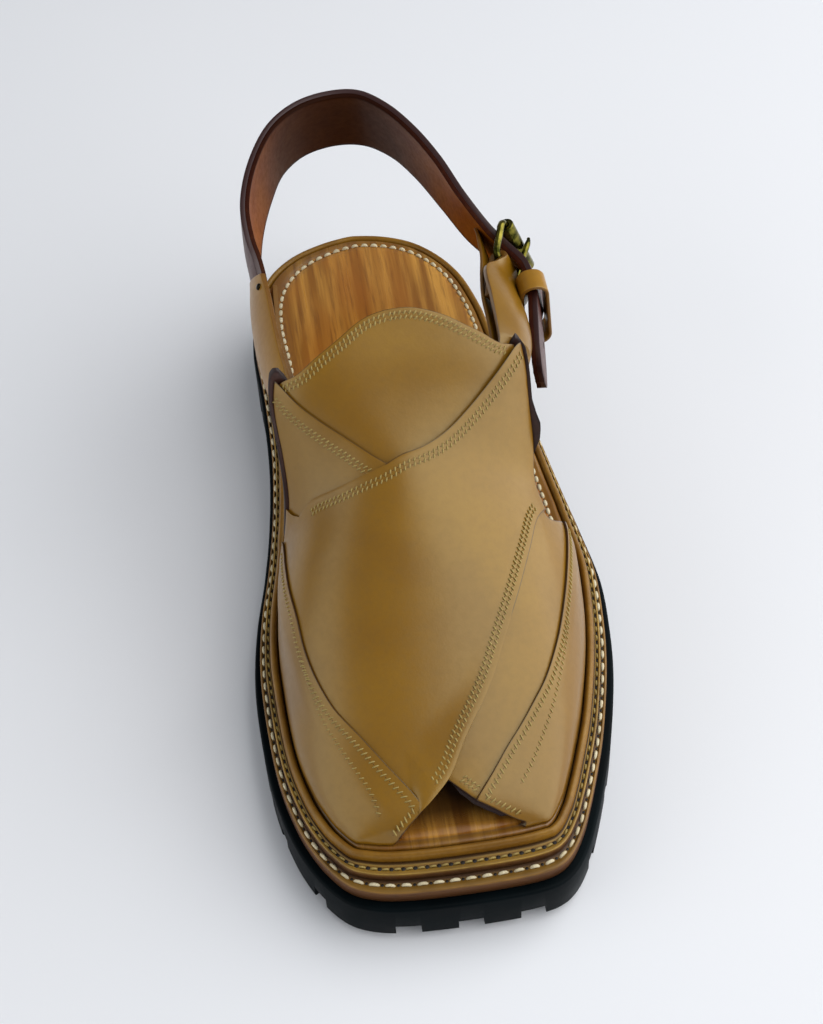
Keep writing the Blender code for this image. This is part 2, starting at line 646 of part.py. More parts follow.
def build_keeper(leather, collection):
    """A loose loop round the strap's tail."""
    inside = rounded_rectangle(0.5 * KEEPER_INSIDE[0], 0.5 * KEEPER_INSIDE[1], 2.2)
    outside = rounded_rectangle(0.5 * KEEPER_INSIDE[0] + KEEPER_THICK, 0.5 * KEEPER_INSIDE[1] + KEEPER_THICK,
                                2.2 + KEEPER_THICK)
    cosine, sine = math.cos(KEEPER_TILT), math.sin(KEEPER_TILT)
    x, y, z = KEEPER_CENTRE
    sections = []
    for near, far in zip(inside, outside):
        section = []
        for (across, up), side in ((near, -0.5), (near, 0.5), (far, 0.5), (far, -0.5)):
            section.append((x + across * cosine - up * sine, y + side * KEEPER_WIDTH,
                            z + across * sine + up * cosine))
        sections.append(section)
    loft("keeper_loop", sections, leather, collection, closed=True)


def build_straps(tan, brown, brass, parts, cutters):
    tuck = UPPER_WALL + 2 * GAP
    band("medial_tab", MEDIAL_TAB, TAB_THICK, -1, tan, parts, 16, tucked=tuck)
    band("medial_tab_lining", MEDIAL_LINING, LINING_THICK, -1, tan, parts, 13,
         tucked=tuck + TAB_THICK + 2 * GAP)
    heel_strap = band("heel_strap", HEEL_STRAP, STRAP_THICK, -1, brown, parts, 56)
    rows = BUCKLE_OUTER_LEG + fold_rows() + BUCKLE_INNER_LEG
    buckle_strap = band("buckle_strap", rows, BUCKLE_STRAP_THICK, 1, tan, parts, 40, tucked=tuck)
    band("buckle_guard", BUCKLE_GUARD, GUARD_THICK, 1, tan, parts, 20,
         tucked=tuck + BUCKLE_STRAP_THICK + 2 * GAP)
    cut(buckle_strap, buckle_cutter("fold_slot", 0.0, 0.0, -0.2, (12.0, 8.6, PRONG_SLOT), cutters))
    cut(heel_strap, buckle_cutter("prong_hole", 0.2, 6.0, 3.0, (18.0, 10.0, PRONG_SLOT), cutters))
    build_buckle(brass, parts)
    build_keeper(tan, parts)


def main():
    for item in list(bpy.data.objects):
        bpy.data.objects.remove(item, do_unlink=True)
    parts = bpy.data.collections.new("peshawari_chappal")
    cutters = bpy.data.collections.new("cutters")
    for collection in (parts, cutters):
        bpy.context.scene.collection.children.link(collection)

    rubber = new_material("rubber", (0.010, 0.016, 0.016), 0.55)
    tan = new_material("tan_leather", (0.35, 0.19, 0.045), 0.40)
    welt_tan = new_material("welt_leather", (0.22, 0.10, 0.02), 0.45)
    brown = new_material("brown_leather", (0.16, 0.045, 0.015), 0.42)
    brass = new_material("brass", (0.50, 0.42, 0.12), 0.25, 1.0)
    bed = new_material("footbed_leather", (0.42, 0.17, 0.04), 0.30)

    build_sole(rubber, welt_tan, welt_tan, bed, parts, cutters)
    build_upper(tan, parts, cutters)
    build_straps(tan, brown, brass, parts, cutters)


main()
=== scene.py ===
# Peshawari chappal, left shoe: the finish of every piece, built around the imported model.
# Lengths are millimetres until a mesh is made. Toe towards -Y, heel +Y, buckle side +X, floor z = 0.
import math
import random

import bmesh
import bpy
import numpy as np
from mathutils import Matrix, Vector


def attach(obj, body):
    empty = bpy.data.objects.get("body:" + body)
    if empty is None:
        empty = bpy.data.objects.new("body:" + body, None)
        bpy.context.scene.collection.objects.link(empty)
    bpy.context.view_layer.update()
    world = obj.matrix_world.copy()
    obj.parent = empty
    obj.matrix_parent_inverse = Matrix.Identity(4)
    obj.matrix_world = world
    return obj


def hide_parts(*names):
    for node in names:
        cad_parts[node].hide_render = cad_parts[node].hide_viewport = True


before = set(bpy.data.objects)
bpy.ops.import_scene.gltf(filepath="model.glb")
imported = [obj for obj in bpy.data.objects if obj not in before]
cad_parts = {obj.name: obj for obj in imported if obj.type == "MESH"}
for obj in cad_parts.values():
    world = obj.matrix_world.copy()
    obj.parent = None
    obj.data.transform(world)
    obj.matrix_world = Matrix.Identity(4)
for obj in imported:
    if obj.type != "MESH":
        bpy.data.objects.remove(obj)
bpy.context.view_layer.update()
mm = 0.001
pi = math.pi
draw = random.Random(7)
print("frame loaded:", len(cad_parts), "nodes")


# Curves.
def spline(rows, samples, closed=False):
    points = [np.array(row, float) for row in rows]
    if closed:
        points = [points[-1]] + points + points[:2]
    else:
        points = [2 * points[0] - points[1]] + points + [2 * points[-1] - points[-2]]
    spans = len(points) - 3
    curve = []
    for sample in range(samples):
        place = sample * spans / (samples if closed else samples - 1)
        span = min(int(place), spans - 1)
        p0, p1, p2, p3 = points[span:span + 4]
        t1 = max(np.linalg.norm(p1[:3] - p0[:3]), 1e-6) ** 0.5
        t2 = t1 + max(np.linalg.norm(p2[:3] - p1[:3]), 1e-6) ** 0.5
        t3 = t2 + max(np.linalg.norm(p3[:3] - p2[:3]), 1e-6) ** 0.5
        t = t1 + (place - span) * (t2 - t1)
        a1 = p0 + (p1 - p0) * t / t1
        a2 = p1 + (p2 - p1) * (t - t1) / (t2 - t1)
        a3 = p2 + (p3 - p2) * (t - t2) / (t3 - t2)
        b1 = a1 + (a2 - a1) * t / t2
        b2 = a2 + (a3 - a2) * (t - t1) / (t3 - t1)
        curve.append(b1 + (b2 - b1) * (t - t1) / (t2 - t1))
    return np.array(curve)


def smooth(low, high, value):
    t = np.clip((value - low) / (high - low), 0, 1)
    return t * t * (3 - 2 * t)


def unit(vectors):
    return vectors / np.maximum(np.linalg.norm(vectors, axis=-1, keepdims=True), 1e-9)


def evenly(curve, count=None, step=None, measure=None):
    # the curve with its points spread evenly, counted or one every step; measure is where they lie
    measure = curve if measure is None else measure
    length = np.concatenate([[0], np.cumsum(np.linalg.norm(np.diff(measure, axis=0), axis=1))])
    if count is None:
        count = max(int(round(length[-1] / step)), 1) + 1
    marks = np.linspace(0, length[-1], count)
    return np.stack([np.interp(marks, length, curve[:, k]) for k in range(curve.shape[1])], axis=1)


def evenLoop(points, count=None, step=None):
    return evenly(np.vstack([points, points[:1]]), count, step)[:-1]


# The sole's outline and its layers.
sole = {
    "outline": (  # y, medial x, lateral x
        (-140.5, -20, 18), (-138.3, -32.5, 26), (-134.2, -40.5, 31), (-125.5, -47.5, 36.6),
        (-116.6, -52, 40.6), (-107.5, -55.2, 44.2), (-90, -59, 50.4), (-63, -60.8, 57.2),
        (-44.5, -60.3, 59.8), (-25, -57.6, 60.9), (-4.5, -53, 58.7), (18, -49, 55.5), (42, -46.2, 51.4),
        (70, -45.6, 45.6), (96, -46.2, 41.5), (112, -44, 37), (124, -38, 30), (133, -28.5, 21),
        (138.5, -16.5, 10), (141, -5, -1.5)),
    "inset": {  # toe, ball, waist, heel
        "outsole": (0, 0, 0, 0), "midsole": (3, 2.5, 1.6, 1), "welt": (7.3, 4.6, 3, 2),
        "rand": (11.6, 6.6, 4.2, 2.6), "upper": (15.5, 9.6, 8, 8)},
    "insetY": (-60, 40, 90),
    "ringPoints": 480,
    "capInset": 2,
    "heelLift": 9,
    "heelRise": (5, 85),  # from y, to y
    "toeSpring": 3.5,
    "layerSpring": (-88, 52),  # from y, over a length of
    "treadSpring": (-98, 42),
    "waistArch": (8.5, 2, 22, 51, 53),  # height, rises from y to y, falls from y to y
    "heelBevel": (2, 131, 10),  # height, from y, over a length of
    "outsoleTop": 15,
    "midsole": (15.3, 21),  # bottom and top, before the lift
    "welt": (21.3, 25),
    "footbed": (25.3, 28.5),
    "randWidth": 2.7,
    "randHeight": 3.5,
    "bedGap": 0.2,
    "bedSeam": 3.5,  # from the footbed's edge
    "seamShift": (1.2, 2.8),  # lateral, medial
    "upperBase": 29.1,
}


def springOf(y, start, length):
    return sole["toeSpring"] * np.clip((start - y) / length, 0, 1.2) ** 1.7


def lift(y):
    return sole["heelLift"] * smooth(*sole["heelRise"], y) + springOf(y, *sole["layerSpring"])


def archHeight(y):
    height, rise, top, fall, low = sole["waistArch"]
    waist = height * smooth(rise, top, y) * (1 - smooth(fall, low, y))
    height, start, length = sole["heelBevel"]
    back = height * np.clip((y - start) / length, 0, 1) ** 1.5
    return springOf(y, *sole["treadSpring"]) + waist + back


def outlineRing():
    medial = [(xMedial, y) for y, xMedial, _ in sole["outline"]]
    lateral = [(xLateral, y) for y, _, xLateral in sole["outline"]]
    return evenLoop(spline(medial[::-1] + lateral, 1440, closed=True), sole["ringPoints"] + 1)


ring = outlineRing()
ringTangent = unit(np.roll(ring, -1, axis=0) - np.roll(ring, 1, axis=0))
ringInward = np.stack([-ringTangent[:, 1], ringTangent[:, 0]], axis=1)


def insetOf(layer):
    toe, ball, waist, heel = sole["inset"][layer]
    side = np.interp(ring[:, 1], sole["insetY"], (ball, waist, heel))
    return np.stack([side, np.where(ring[:, 1] < 0, toe, heel)], axis=1)


def insetRing(layer, extra=0, towards=None, share=0):
    # a layer's outline, or one that lies a share of the way towards the next layer's
    inset = insetOf(layer)
    if towards:
        inset = inset + (insetOf(towards) - inset) * share
    return ring + ringInward * (inset + extra)


def edgesTable(layer):
    # medial and lateral x of a layer at each half millimetre of its length
    loop = insetRing(layer)
    toe, heel = int(np.argmin(loop[:, 1])), int(np.argmax(loop[:, 1]))
    one = np.roll(loop, -toe, axis=0)
    turn = (heel - toe) % len(loop)
    first, second = one[:turn + 1], np.vstack([one[turn:], one[:1]])[::-1]
    ys = np.arange(loop[:, 1].min() + 0.4, loop[:, 1].max(), 0.5)
    xs = [np.interp(ys, side[:, 1], side[:, 0]) for side in (first, second)]
    return ys, np.minimum(*xs), np.maximum(*xs)


# The upper's surface. station runs from the toe to the ankle, degrees from the medial foot (0) over the
# instep (90) to the lateral foot (180).
upperForm = {
    "rows": (  # y, crest z, power, crest x
        (-125, 33, 2.2, -5), (-122, 37, 2.2, -5), (-117, 41, 2.2, -5), (-105, 46.5, 2.2, -5),
        (-85, 56, 2.15, -5), (-60, 67.5, 2.1, -5), (-40, 76.5, 2, -5), (-20, 86, 1.95, -4),
        (-12, 91, 2.3, -3.5), (-3, 98.5, 3.1, -3), (6, 107.5, 4.3, -2), (17, 118, 4.8, -2),
        (21, 122, 4.9, -2)),
    "medialEdge": (  # share of the quarter turn, share of the sweep
        (0, 0), (0.18, 0), (0.31, 0.13), (0.40, 0.38), (0.48, 0.70), (0.55, 0.79), (0.66, 0.81),
        (0.80, 0.84), (0.90, 0.90), (1, 1)),
    "lateralEdge": ((0, -0.04), (0.16, -0.10), (0.26, -0.22), (0.34, -0.33), (0.39, -0.36), (0.43, -0.10),
        (0.47, 0.36), (0.51, 0.70), (0.57, 0.79), (0.66, 0.81), (0.80, 0.84), (0.90, 0.90), (1, 1)),
    "rear": -17,
    "archTrim": (  # degrees, how far the arch's edge lies behind the plain free edge
        (0, 0), (46, 0), (55, -1.6), (63.6, -2.4), (71.5, -1.85), (79.7, -1.5), (84.9, -1.15), (88.2, -0.2),
        (89.6, 0.5), (90, 1), (90.3, 1.2), (91.4, 0.9), (93.7, 0.55), (97.4, 0.3), (102.2, -0.2),
        (109.2, -0.35), (116.5, -1.1), (124.3, -0.75), (129, 1), (133.8, 3.3), (136.8, 1.3), (139.5, 0.2),
        (143, 0), (180, 0)),
    "sweep": 33,
    "sweepFrom": -85,
    "ankleHalf": (46.8, 43),
    "ankleBlend": (-27, 12),
    "crestSlant": 1.15,
    "swell": (0.22, 13, 2.1, 31),  # height, a wave's length and slant, the other's length
    "swellFrom": 30,  # behind the toe
    "toeTuck": 25,
    "strapsLeaveAt": 12,
    "ankleEase": ((-14, 4, 1.6), (-22, -8, 3)),  # medial, lateral: from y, to y, outwards
}
upperFine = spline(upperForm["rows"], 260)
medialFine, lateralFine = spline(upperForm["medialEdge"], 120), spline(upperForm["lateralEdge"], 160)
rimY, rimMedial, rimLateral = edgesTable("upper")
front, rear = rimY[0], upperForm["rear"]


def upperSection(y, depth):
    crest, power, crestX = (np.interp(y, upperFine[:, 0], upperFine[:, k]) for k in (1, 2, 3))
    onSole = np.minimum(y, rear)
    medial, lateral = np.interp(onSole, rimY, rimMedial), np.interp(onSole, rimY, rimLateral)
    blend = smooth(*upperForm["ankleBlend"], y)
    easeMedial, easeLateral = (row[2] * smooth(row[0], row[1], y) for row in upperForm["ankleEase"])
    medial = medial + (-upperForm["ankleHalf"][0] - medial) * blend + depth - easeMedial
    lateral = lateral + (upperForm["ankleHalf"][1] - lateral) * blend - depth + easeLateral
    crest = crest - depth * upperForm["crestSlant"]
    return medial, lateral, sole["upperBase"] + lift(onSole), crest, power, crestX


def upperAt(places, depth=0):
    # points of the upper, depth mm inside its outer face; places hold station and degrees
    station, around = places[..., 0], np.radians(places[..., 1])
    share = np.clip((station - upperForm["sweepFrom"]) / (rear - upperForm["sweepFrom"]), 0, 1)
    climb = 1 - np.abs(around / (0.5 * pi) - 1)
    edge = np.where(around < 0.5 * pi, np.interp(climb, medialFine[:, 0], medialFine[:, 1]),
                    np.interp(climb, lateralFine[:, 0], lateralFine[:, 1]))
    y = station + upperForm["sweep"] * share * edge
    # the leather isn't a perfect form: broad, shallow swells
    height, short, slant, long = upperForm["swell"]
    swell = height * np.sin(station / short + around * slant) * np.sin(around * 3 + station / long)
    depth = depth - swell * smooth(front, front + upperForm["swellFrom"], station)
    medial, lateral, base, crest, power, crestX = upperSection(y, depth)
    cosine = np.cos(around)
    swing = np.sign(cosine) * np.abs(cosine) ** (2 / power)
    height = np.maximum(np.sin(around), 0) ** (2 / power)
    half = np.where(swing > 0, crestX - medial, lateral - crestX)
    y = y + depth * smooth(front + upperForm["toeTuck"], front, station)
    return np.stack([crestX - swing * half, y, base + (crest - base) * height], axis=-1)


def upperDirections(places):
    # how a point moves for one step of station and of degrees, and the way out of the leather
    step = 0.2
    here = upperAt(places)
    byStation = (upperAt(places + (step, 0)) - here) / step
    byDegrees = (upperAt(places + (0, step)) - here) / step
    return byStation, byDegrees, unit(np.cross(byDegrees, byStation))


def settleOn(places, targets, rounds=6, farthest=4):
    # the places whose points come nearest to the targets
    for _ in range(rounds):
        byStation, byDegrees, _ = upperDirections(places)
        off = targets - upperAt(places)
        a, b, c = (np.sum(one * two, axis=1) for one, two in
                   ((byStation, byStation), (byStation, byDegrees), (byDegrees, byDegrees)))
        p, q = np.sum(byStation * off, axis=1), np.sum(byDegrees * off, axis=1)
        whole = a * c - b * b + 1e-9
        step = np.stack([(c * p - b * q) / whole, (a * q - b * p) / whole], axis=1)
        moved = places + np.clip(step, -farthest, farthest)
        # along the crest the degrees crowd together, so there they follow from x alone
        medial, lateral, _, _, power, crestX = upperSection(targets[:, 1], 0)
        half = np.where(targets[:, 0] < crestX, crestX - medial, lateral - crestX)
        swing = np.clip((crestX - targets[:, 0]) / half, -1, 1)
        byX = np.degrees(np.arccos(np.sign(swing) * np.abs(swing) ** (0.5 * power)))
        share = smooth(26, 14, np.abs(byX - 90))
        moved[:, 1] += (byX - moved[:, 1]) * share
        moved[:, 0] += (places[:, 0] + off[:, 1] - moved[:, 0]) * share
        places = moved
    return places


def blurred(rows, kernel):
    return np.stack([np.convolve(rows[:, k], kernel, "valid") for k in range(3)], axis=1)


def fairLine(places, softness=2.6, step=0.5):
    # a line with its small kinks taken out, as a knife would cut it; its ends stay, and so does a short
    # line or one that reaches the foot, where the surface is too steep for this
    places = evenly(places, None, step, upperAt(places))
    if places[:, 1].min() < 8 or places[:, 1].max() > 172 or len(places) < 12:
        return places
    points = upperAt(places)
    reach = min(int(3 * softness / step), len(points) - 1)
    kernel = np.exp(-0.5 * (np.arange(-reach, reach + 1) * step / softness) ** 2)
    before, after = 2 * points[0] - points[reach:0:-1], 2 * points[-1] - points[-2:-reach - 2:-1]
    padded = np.concatenate([before, points, after])
    return settleOn(places, blurred(padded, kernel / kernel.sum()))


def alongUpper(rows, counts=None, step=None, straightOn=0.6):
    # places along a line on the upper, evenly spread; a line with corners is given as several runs, and
    # counts then says how many places each run has
    runs = [spline(run, 24 * len(run)) for run in (rows if isinstance(rows[0][0], tuple) else (rows,))]
    groups = [[runs[0]]]
    for before, run in zip(runs, runs[1:]):
        one, two = unit(upperAt(before[-1]) - upperAt(before[-3])), unit(upperAt(run[2]) - upperAt(run[0]))
        if np.dot(one, two) > straightOn:
            groups[-1].append(run)
        else:
            groups.append([run])
    parts = []
    for group in groups:
        line = fairLine(np.concatenate(group))
        points, first = upperAt(line), 0
        for run in group[:-1]:
            last = int(np.argmin(np.linalg.norm(points - upperAt(run[-1]), axis=1)))
            parts.append(line[first:last + 1])
            first = last
        parts.append(line[first:])
    if counts is None or isinstance(counts, int):
        whole = np.concatenate(parts)
        return evenly(whole, counts, step, upperAt(whole))
    parts = [evenly(part, count, None, upperAt(part)) for part, count in zip(parts, counts)]
    return np.concatenate([parts[0]] + [part[1:] for part in parts[1:]])


def besideLine(places, distance):
    # the same line moved sideways over the leather, to the right of its run for a positive distance
    points, out = upperAt(places), upperDirections(places)[2]
    side = np.cross(unit(np.gradient(points, axis=0)), out)
    reach = min(5, len(side) // 3)
    padded = np.pad(side, ((reach, reach), (0, 0)), "edge")
    return settleOn(places, points + unit(blurred(padded, np.hanning(2 * reach + 1))) * distance)


# Meshes.
def newObject(name, data):
    thing = bpy.data.objects.new(name, data)
    bpy.context.scene.collection.objects.link(thing)
    return thing


def newPiece(name, verts, faces, finish, standsFor=(), sharp=180, marks=None):
    mesh = bpy.data.meshes.new(name)
    mesh.from_pydata([tuple(float(c) * mm for c in v) for v in verts], [], faces)
    for key, values in (marks or {}).items():
        mesh.attributes.new(key, "FLOAT", "POINT").data.foreach_set("value", np.asarray(values, np.float32))
    edit = bmesh.new()
    edit.from_mesh(mesh)
    bmesh.ops.recalc_face_normals(edit, faces=edit.faces)
    edit.to_mesh(mesh)
    edit.free()
    mesh.shade_smooth()
    if sharp < 180:
        mesh.set_sharp_from_angle(angle=math.radians(sharp))
    mesh.materials.append(finishes[finish])
    piece = newObject(name, mesh)
    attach(piece, "root")
    if standsFor:
        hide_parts(*standsFor)
    return piece


def applyModifiers(piece):
    bpy.context.view_layer.update()
    graph = bpy.context.evaluated_depsgraph_get()
    mesh = bpy.data.meshes.new_from_object(piece.evaluated_get(graph), preserve_all_data_layers=True,
                                           depsgraph=graph)
    piece.modifiers.clear()
    piece.data = mesh
    return piece


def roundEdges(piece, width, angle=50):
    bevel = piece.modifiers.new("roundEdges", "BEVEL")
    bevel.width = width * mm
    bevel.segments = 2
    bevel.limit_method = "ANGLE"
    bevel.angle_limit = math.radians(angle)
    return applyModifiers(piece)


def lattice(rows, columns, wrapRows=False, wrapColumns=False, first=0):
    # the faces between the points of a grid, which may close on itself either way
    faces = []
    for i in range(rows if wrapRows else rows - 1):
        low, high = first + i * columns, first + (i + 1) % rows * columns
        for k in range(columns if wrapColumns else columns - 1):
            n = (k + 1) % columns
            faces.append((low + k, low + n, high + n, high + k))
    return faces


def rodFaces(sections, sides, first=0):
    # the faces round a rod and its two ends
    last = first + (sections - 1) * sides
    ends = [tuple(range(first, first + sides))[::-1], tuple(range(last, last + sides))]
    return lattice(sections, sides, False, True, first) + ends


def circle(middle, side, other, radius, count):
    turns = [2 * pi * k / count for k in range(count)]
    return [middle + radius * (side * math.cos(turn) + other * math.sin(turn)) for turn in turns]


def sheetPiece(name, outer, inner, finish, slotName, standsFor, corner, light=0):
    # a closed sheet between two grids; rim is how far each point lies from the sheet's edge, and light
    # is added where the edge is folded and stays light
    rows, columns = outer.shape[:2]
    shift = rows * columns
    faces = []
    for face in lattice(rows, columns):
        faces += [face, tuple(face[k] + shift for k in (0, 3, 2, 1))]
    order = np.arange(shift).reshape(rows, columns)
    loop = np.concatenate([order[0], order[1:, -1], order[-1, -2::-1], order[-2:0:-1, 0]]).tolist()
    for one, two in zip(loop, loop[1:] + loop[:1]):
        faces.append((one, one + shift, two + shift, two))
    flat = outer.reshape(-1, 3)
    border = flat[loop]
    rim = np.array([np.linalg.norm(border - point, axis=1).min() for point in flat]) + np.ravel(light)
    verts = np.concatenate([flat, inner.reshape(-1, 3)])
    piece = newPiece(name, verts, faces, finish, standsFor, marks={"rim": np.tile(rim, 2)})
    return roundEdges(piece, corner)


def upperPanel(name, low, high, start, end, size, depths, plainEdge=None):
    # a piece of leather inside four lines on the upper; depths gives its outer and inner depth
    # for the share of the way from low to high
    rows, columns = size
    c0, c1 = alongUpper(low, rows), alongUpper(high, rows)
    d0, d1 = alongUpper(start, columns), alongUpper(end, columns)
    rows = len(c0)
    u, v = np.linspace(0, 1, rows)[:, None, None], np.linspace(0, 1, columns)[None, :, None]
    places = ((1 - v) * c0[:, None] + v * c1[:, None] + (1 - u) * d0[None] + u * d1[None]
              - (1 - u) * (1 - v) * c0[0] - (1 - u) * v * c1[0] - u * (1 - v) * c0[-1] - u * v * c1[-1])
    top, bottom = depths(np.broadcast_to(v[..., 0], places.shape[:2]), places[..., 0])
    light = plainEdge(places[..., 0], places[..., 1]) if plainEdge else 0
    sheetPiece(name, upperAt(places, top), upperAt(places, bottom), "tan", "upper_leather", (),
               panels["cornerRound"], light)


def ringLoft(name, rings, finish, standsFor=(), caps=True):
    # rings of equal count, one after the other; strips across the first and last close them
    count, layers = len(rings[0]), len(rings)
    verts = np.concatenate(rings)
    faces = lattice(layers, count, not caps, True)
    if caps:
        toe = int(np.argmin(rings[0][:, 1]))
        for start in (0, (layers - 1) * count):
            for k in range(count // 2):
                one, two = start + (toe + k) % count, start + (toe + k + 1) % count
                three, four = start + (toe - k - 1) % count, start + (toe - k) % count
                corners = tuple(dict.fromkeys((one, two, three, four)))
                if len(corners) > 2:
                    faces.append(corners)
    height = verts[:, 2] - lift(verts[:, 1])
    return newPiece(name, verts, faces, finish, standsFor, marks={"height": height})


def raised(flat, z, floorOf=lift):
    return np.column_stack([flat, floorOf(flat[:, 1]) + z])


def layerRings(layer, bottom, top, corner, topRows=(), extra=0, floorOf=lift, towards=None):
    # rings of a flat layer with rounded edges. topRows shape its top: inset (or share towards the next
    # layer) and drop
    turns = [0.5 * pi * t for t in (0, 0.35, 0.7, 1)]
    rings = [raised(insetRing(layer, extra + corner + sole["capInset"]), bottom, floorOf)]
    for turn in turns:
        inset, z = corner * (1 - math.sin(turn)), bottom + corner * (1 - math.cos(turn))
        rings.append(raised(insetRing(layer, extra + inset), z, floorOf))
    for turn in turns:
        inset, z = corner * (1 - math.cos(turn)), top - corner * (1 - math.sin(turn))
        rings.append(raised(insetRing(layer, extra + inset), z))
    for inset, drop in topRows:
        flat = insetRing(layer, extra, towards, inset) if towards else insetRing(layer, extra + inset)
        rings.append(raised(flat, top - drop))
    if not topRows:
        rings.append(raised(insetRing(layer, extra + corner + sole["capInset"]), top))
    return rings


# Colours and nodes.
def linear(code):
    shares = [int(code[k:k + 2], 16) / 255 for k in (1, 3, 5)]
    return tuple(c / 12.92 if c <= 0.04045 else ((c + 0.055) / 1.055) ** 2.4 for c in shares) + (1,)


def addNode(tree, kind, settings=None, links=None):
    node = tree.nodes.new("ShaderNode" + kind)
    for key, value in (settings or {}).items():
        if isinstance(key, int) or key in node.inputs:
            node.inputs[key].default_value = value
        else:
            setattr(node, key, value)
    for key, source in (links or {}).items():
        tree.links.new(source, node.inputs[key])
    return node


def startMaterial(name):
    material = bpy.data.materials.new(name)
    material.use_nodes = True
    tree = material.node_tree
    place = addNode(tree, "TexCoord").outputs["Object"]
    inMm = addNode(tree, "VectorMath", {"operation": "SCALE", "Scale": 1000}, {0: place}).outputs[0]
    return material, tree, tree.nodes["Principled BSDF"], inMm


def mixColour(tree, factor, one, two):
    # one and two are hex codes or node outputs
    settings, links = {"data_type": "RGBA"}, {0: factor}
    for index, colour in ((6, one), (7, two)):
        if isinstance(colour, str):
            settings[index] = linear(colour)
        else:
            links[index] = colour
    return addNode(tree, "Mix", settings, links).outputs[2]


def spread(tree, value, low, high, toLow=0, toHigh=1):
    settings = {"From Min": low, "From Max": high, "To Min": toLow, "To Max": toHigh}
    return addNode(tree, "MapRange", settings, {"Value": value}).outputs["Result"]


def noise(tree, place, size, detail=2, rough=0.5, stretch=None):
    # size is the width of a patch in mm
    if stretch:
        place = addNode(tree, "VectorMath", {"operation": "MULTIPLY", 1: stretch}, {0: place}).outputs[0]
    settings = {"Scale": 1 / size, "Detail": detail, "Roughness": rough}
    return addNode(tree, "TexNoise", settings, {"Vector": place}).outputs["Fac"]


def tint(tree, value, levels, one, two):
    # one where the value is low, two where it is high; levels: from, to, and the shares of two there
    return mixColour(tree, spread(tree, value, *levels), one, two)


def mark(tree, name):
    return addNode(tree, "Attribute", {"attribute_name": name}).outputs["Fac"]


def axisOf(tree, vector, index):
    return addNode(tree, "SeparateXYZ", {}, {0: vector}).outputs[index]


def wireUp(tree, shader, colour, rough, bumps, settings=None):
    # bumps: height output, depth in mm, strength
    tree.links.new(colour, shader.inputs["Base Color"])
    if isinstance(rough, float):
        shader.inputs["Roughness"].default_value = rough
    else:
        tree.links.new(rough, shader.inputs["Roughness"])
    for key, value in (settings or {}).items():
        shader.inputs[key].default_value = value
    normal = {}
    for height, depth, strength in bumps:
        settings = {"Distance": depth * mm, "Strength": strength}
        bump = addNode(tree, "Bump", settings, {"Height": height, **normal})
        normal = {"Normal": bump.outputs["Normal"]}
    if normal:
        tree.links.new(normal["Normal"], shader.inputs["Normal"])


def leather(name, dye, patches, pores, rough, edge=None, specular=0.5, sheen="#FFFFFF", paintedHeelShade=None):
    # smooth finished leather. dye: main, second and dark; patches: cloud and fleck in mm, share of the
    # flecks; pores: size and depth in mm; edge: colour, where it starts to fade and ends, wander
    material, tree, shader, place = startMaterial(name)
    cloud = noise(tree, place, patches[0], 3)
    fleck = noise(tree, place, patches[1], 4, 0.6)
    colour = tint(tree, cloud, (0.35, 0.65), dye[0], dye[1])
    colour = tint(tree, fleck, (0.4, 0.75, 0, patches[2]), colour, dye[2])
    # a dark band along the sheet's edges: the cut edge's own colour, and on the tan upper also a painted
    # shadow line beside each step
    if edge:
        code, low, high, amount = edge
        rim = mark(tree, "rim")
        wander = addNode(tree, "Math", {"operation": "MULTIPLY_ADD", 1: amount, 2: 0}, {0: fleck})
        reach = addNode(tree, "Math", {"operation": "ADD"}, {0: rim, 1: wander.outputs[0]}).outputs[0]
        colour = tint(tree, reach, (low, high, 1, 0), colour, code)
    # painted shade, darker towards the back of the heel
    if paintedHeelShade:
        code, low, high = paintedHeelShade
        colour = tint(tree, axisOf(tree, place, 1), (low, high, 0, 0.8), colour, code)
    rough = spread(tree, fleck, 0.3, 0.7, *rough)
    size, depth = pores
    pits = addNode(tree, "TexVoronoi", {"Scale": 1 / size}, {"Vector": place}).outputs["Distance"]
    wrinkle = noise(tree, place, size * 3, 3, 0.6)
    wireUp(tree, shader, colour, rough, ((wrinkle, depth * 1.6, 0.5), (pits, depth, 0.5)),
           {"Specular IOR Level": specular, "Specular Tint": linear(sheen)})
    return material


def stackedLeather(name, level, dark, top, bands):
    # a cut and waxed leather edge: a lighter top corner, partly burnished and partly painted highlight, and
    # painted shade darkening it towards the piece below
    material, tree, shader, place = startMaterial(name)
    # colour by height up the edge: painted shade at its foot, a partly painted highlight at its top corner
    up = spread(tree, mark(tree, "height"), *level)
    ramp = addNode(tree, "ValToRGB", {}, {"Fac": up})
    stops = ramp.color_ramp.elements
    stops.remove(stops[1])
    stops[0].position, stops[0].color = bands[0][0], linear(bands[0][1])
    for position, code in bands[1:]:
        stops.new(position).color = linear(code)
    grain = noise(tree, place, 1.4, 4, 0.65, (0.25, 0.25, 2.5))
    colour = tint(tree, grain, (0.45, 0.75, 0, 0.55), ramp.outputs["Color"], dark)
    upright = axisOf(tree, addNode(tree, "NewGeometry").outputs["Normal"], 2)
    colour = tint(tree, upright, (0.75, 0.95), colour, top)
    # painted shade on the top face where it runs into the corner under the next layer
    colour = tint(tree, mark(tree, "margin"), (0.74, 0.9, 0, 0.85), colour, dark)
    colour = tint(tree, noise(tree, place, 18, 3), (0.45, 0.7, 0, 0.5), colour, dark)
    wireUp(tree, shader, colour, 0.5, ((grain, 0.12, 0.5),), {"Specular IOR Level": 0.35})
    return material


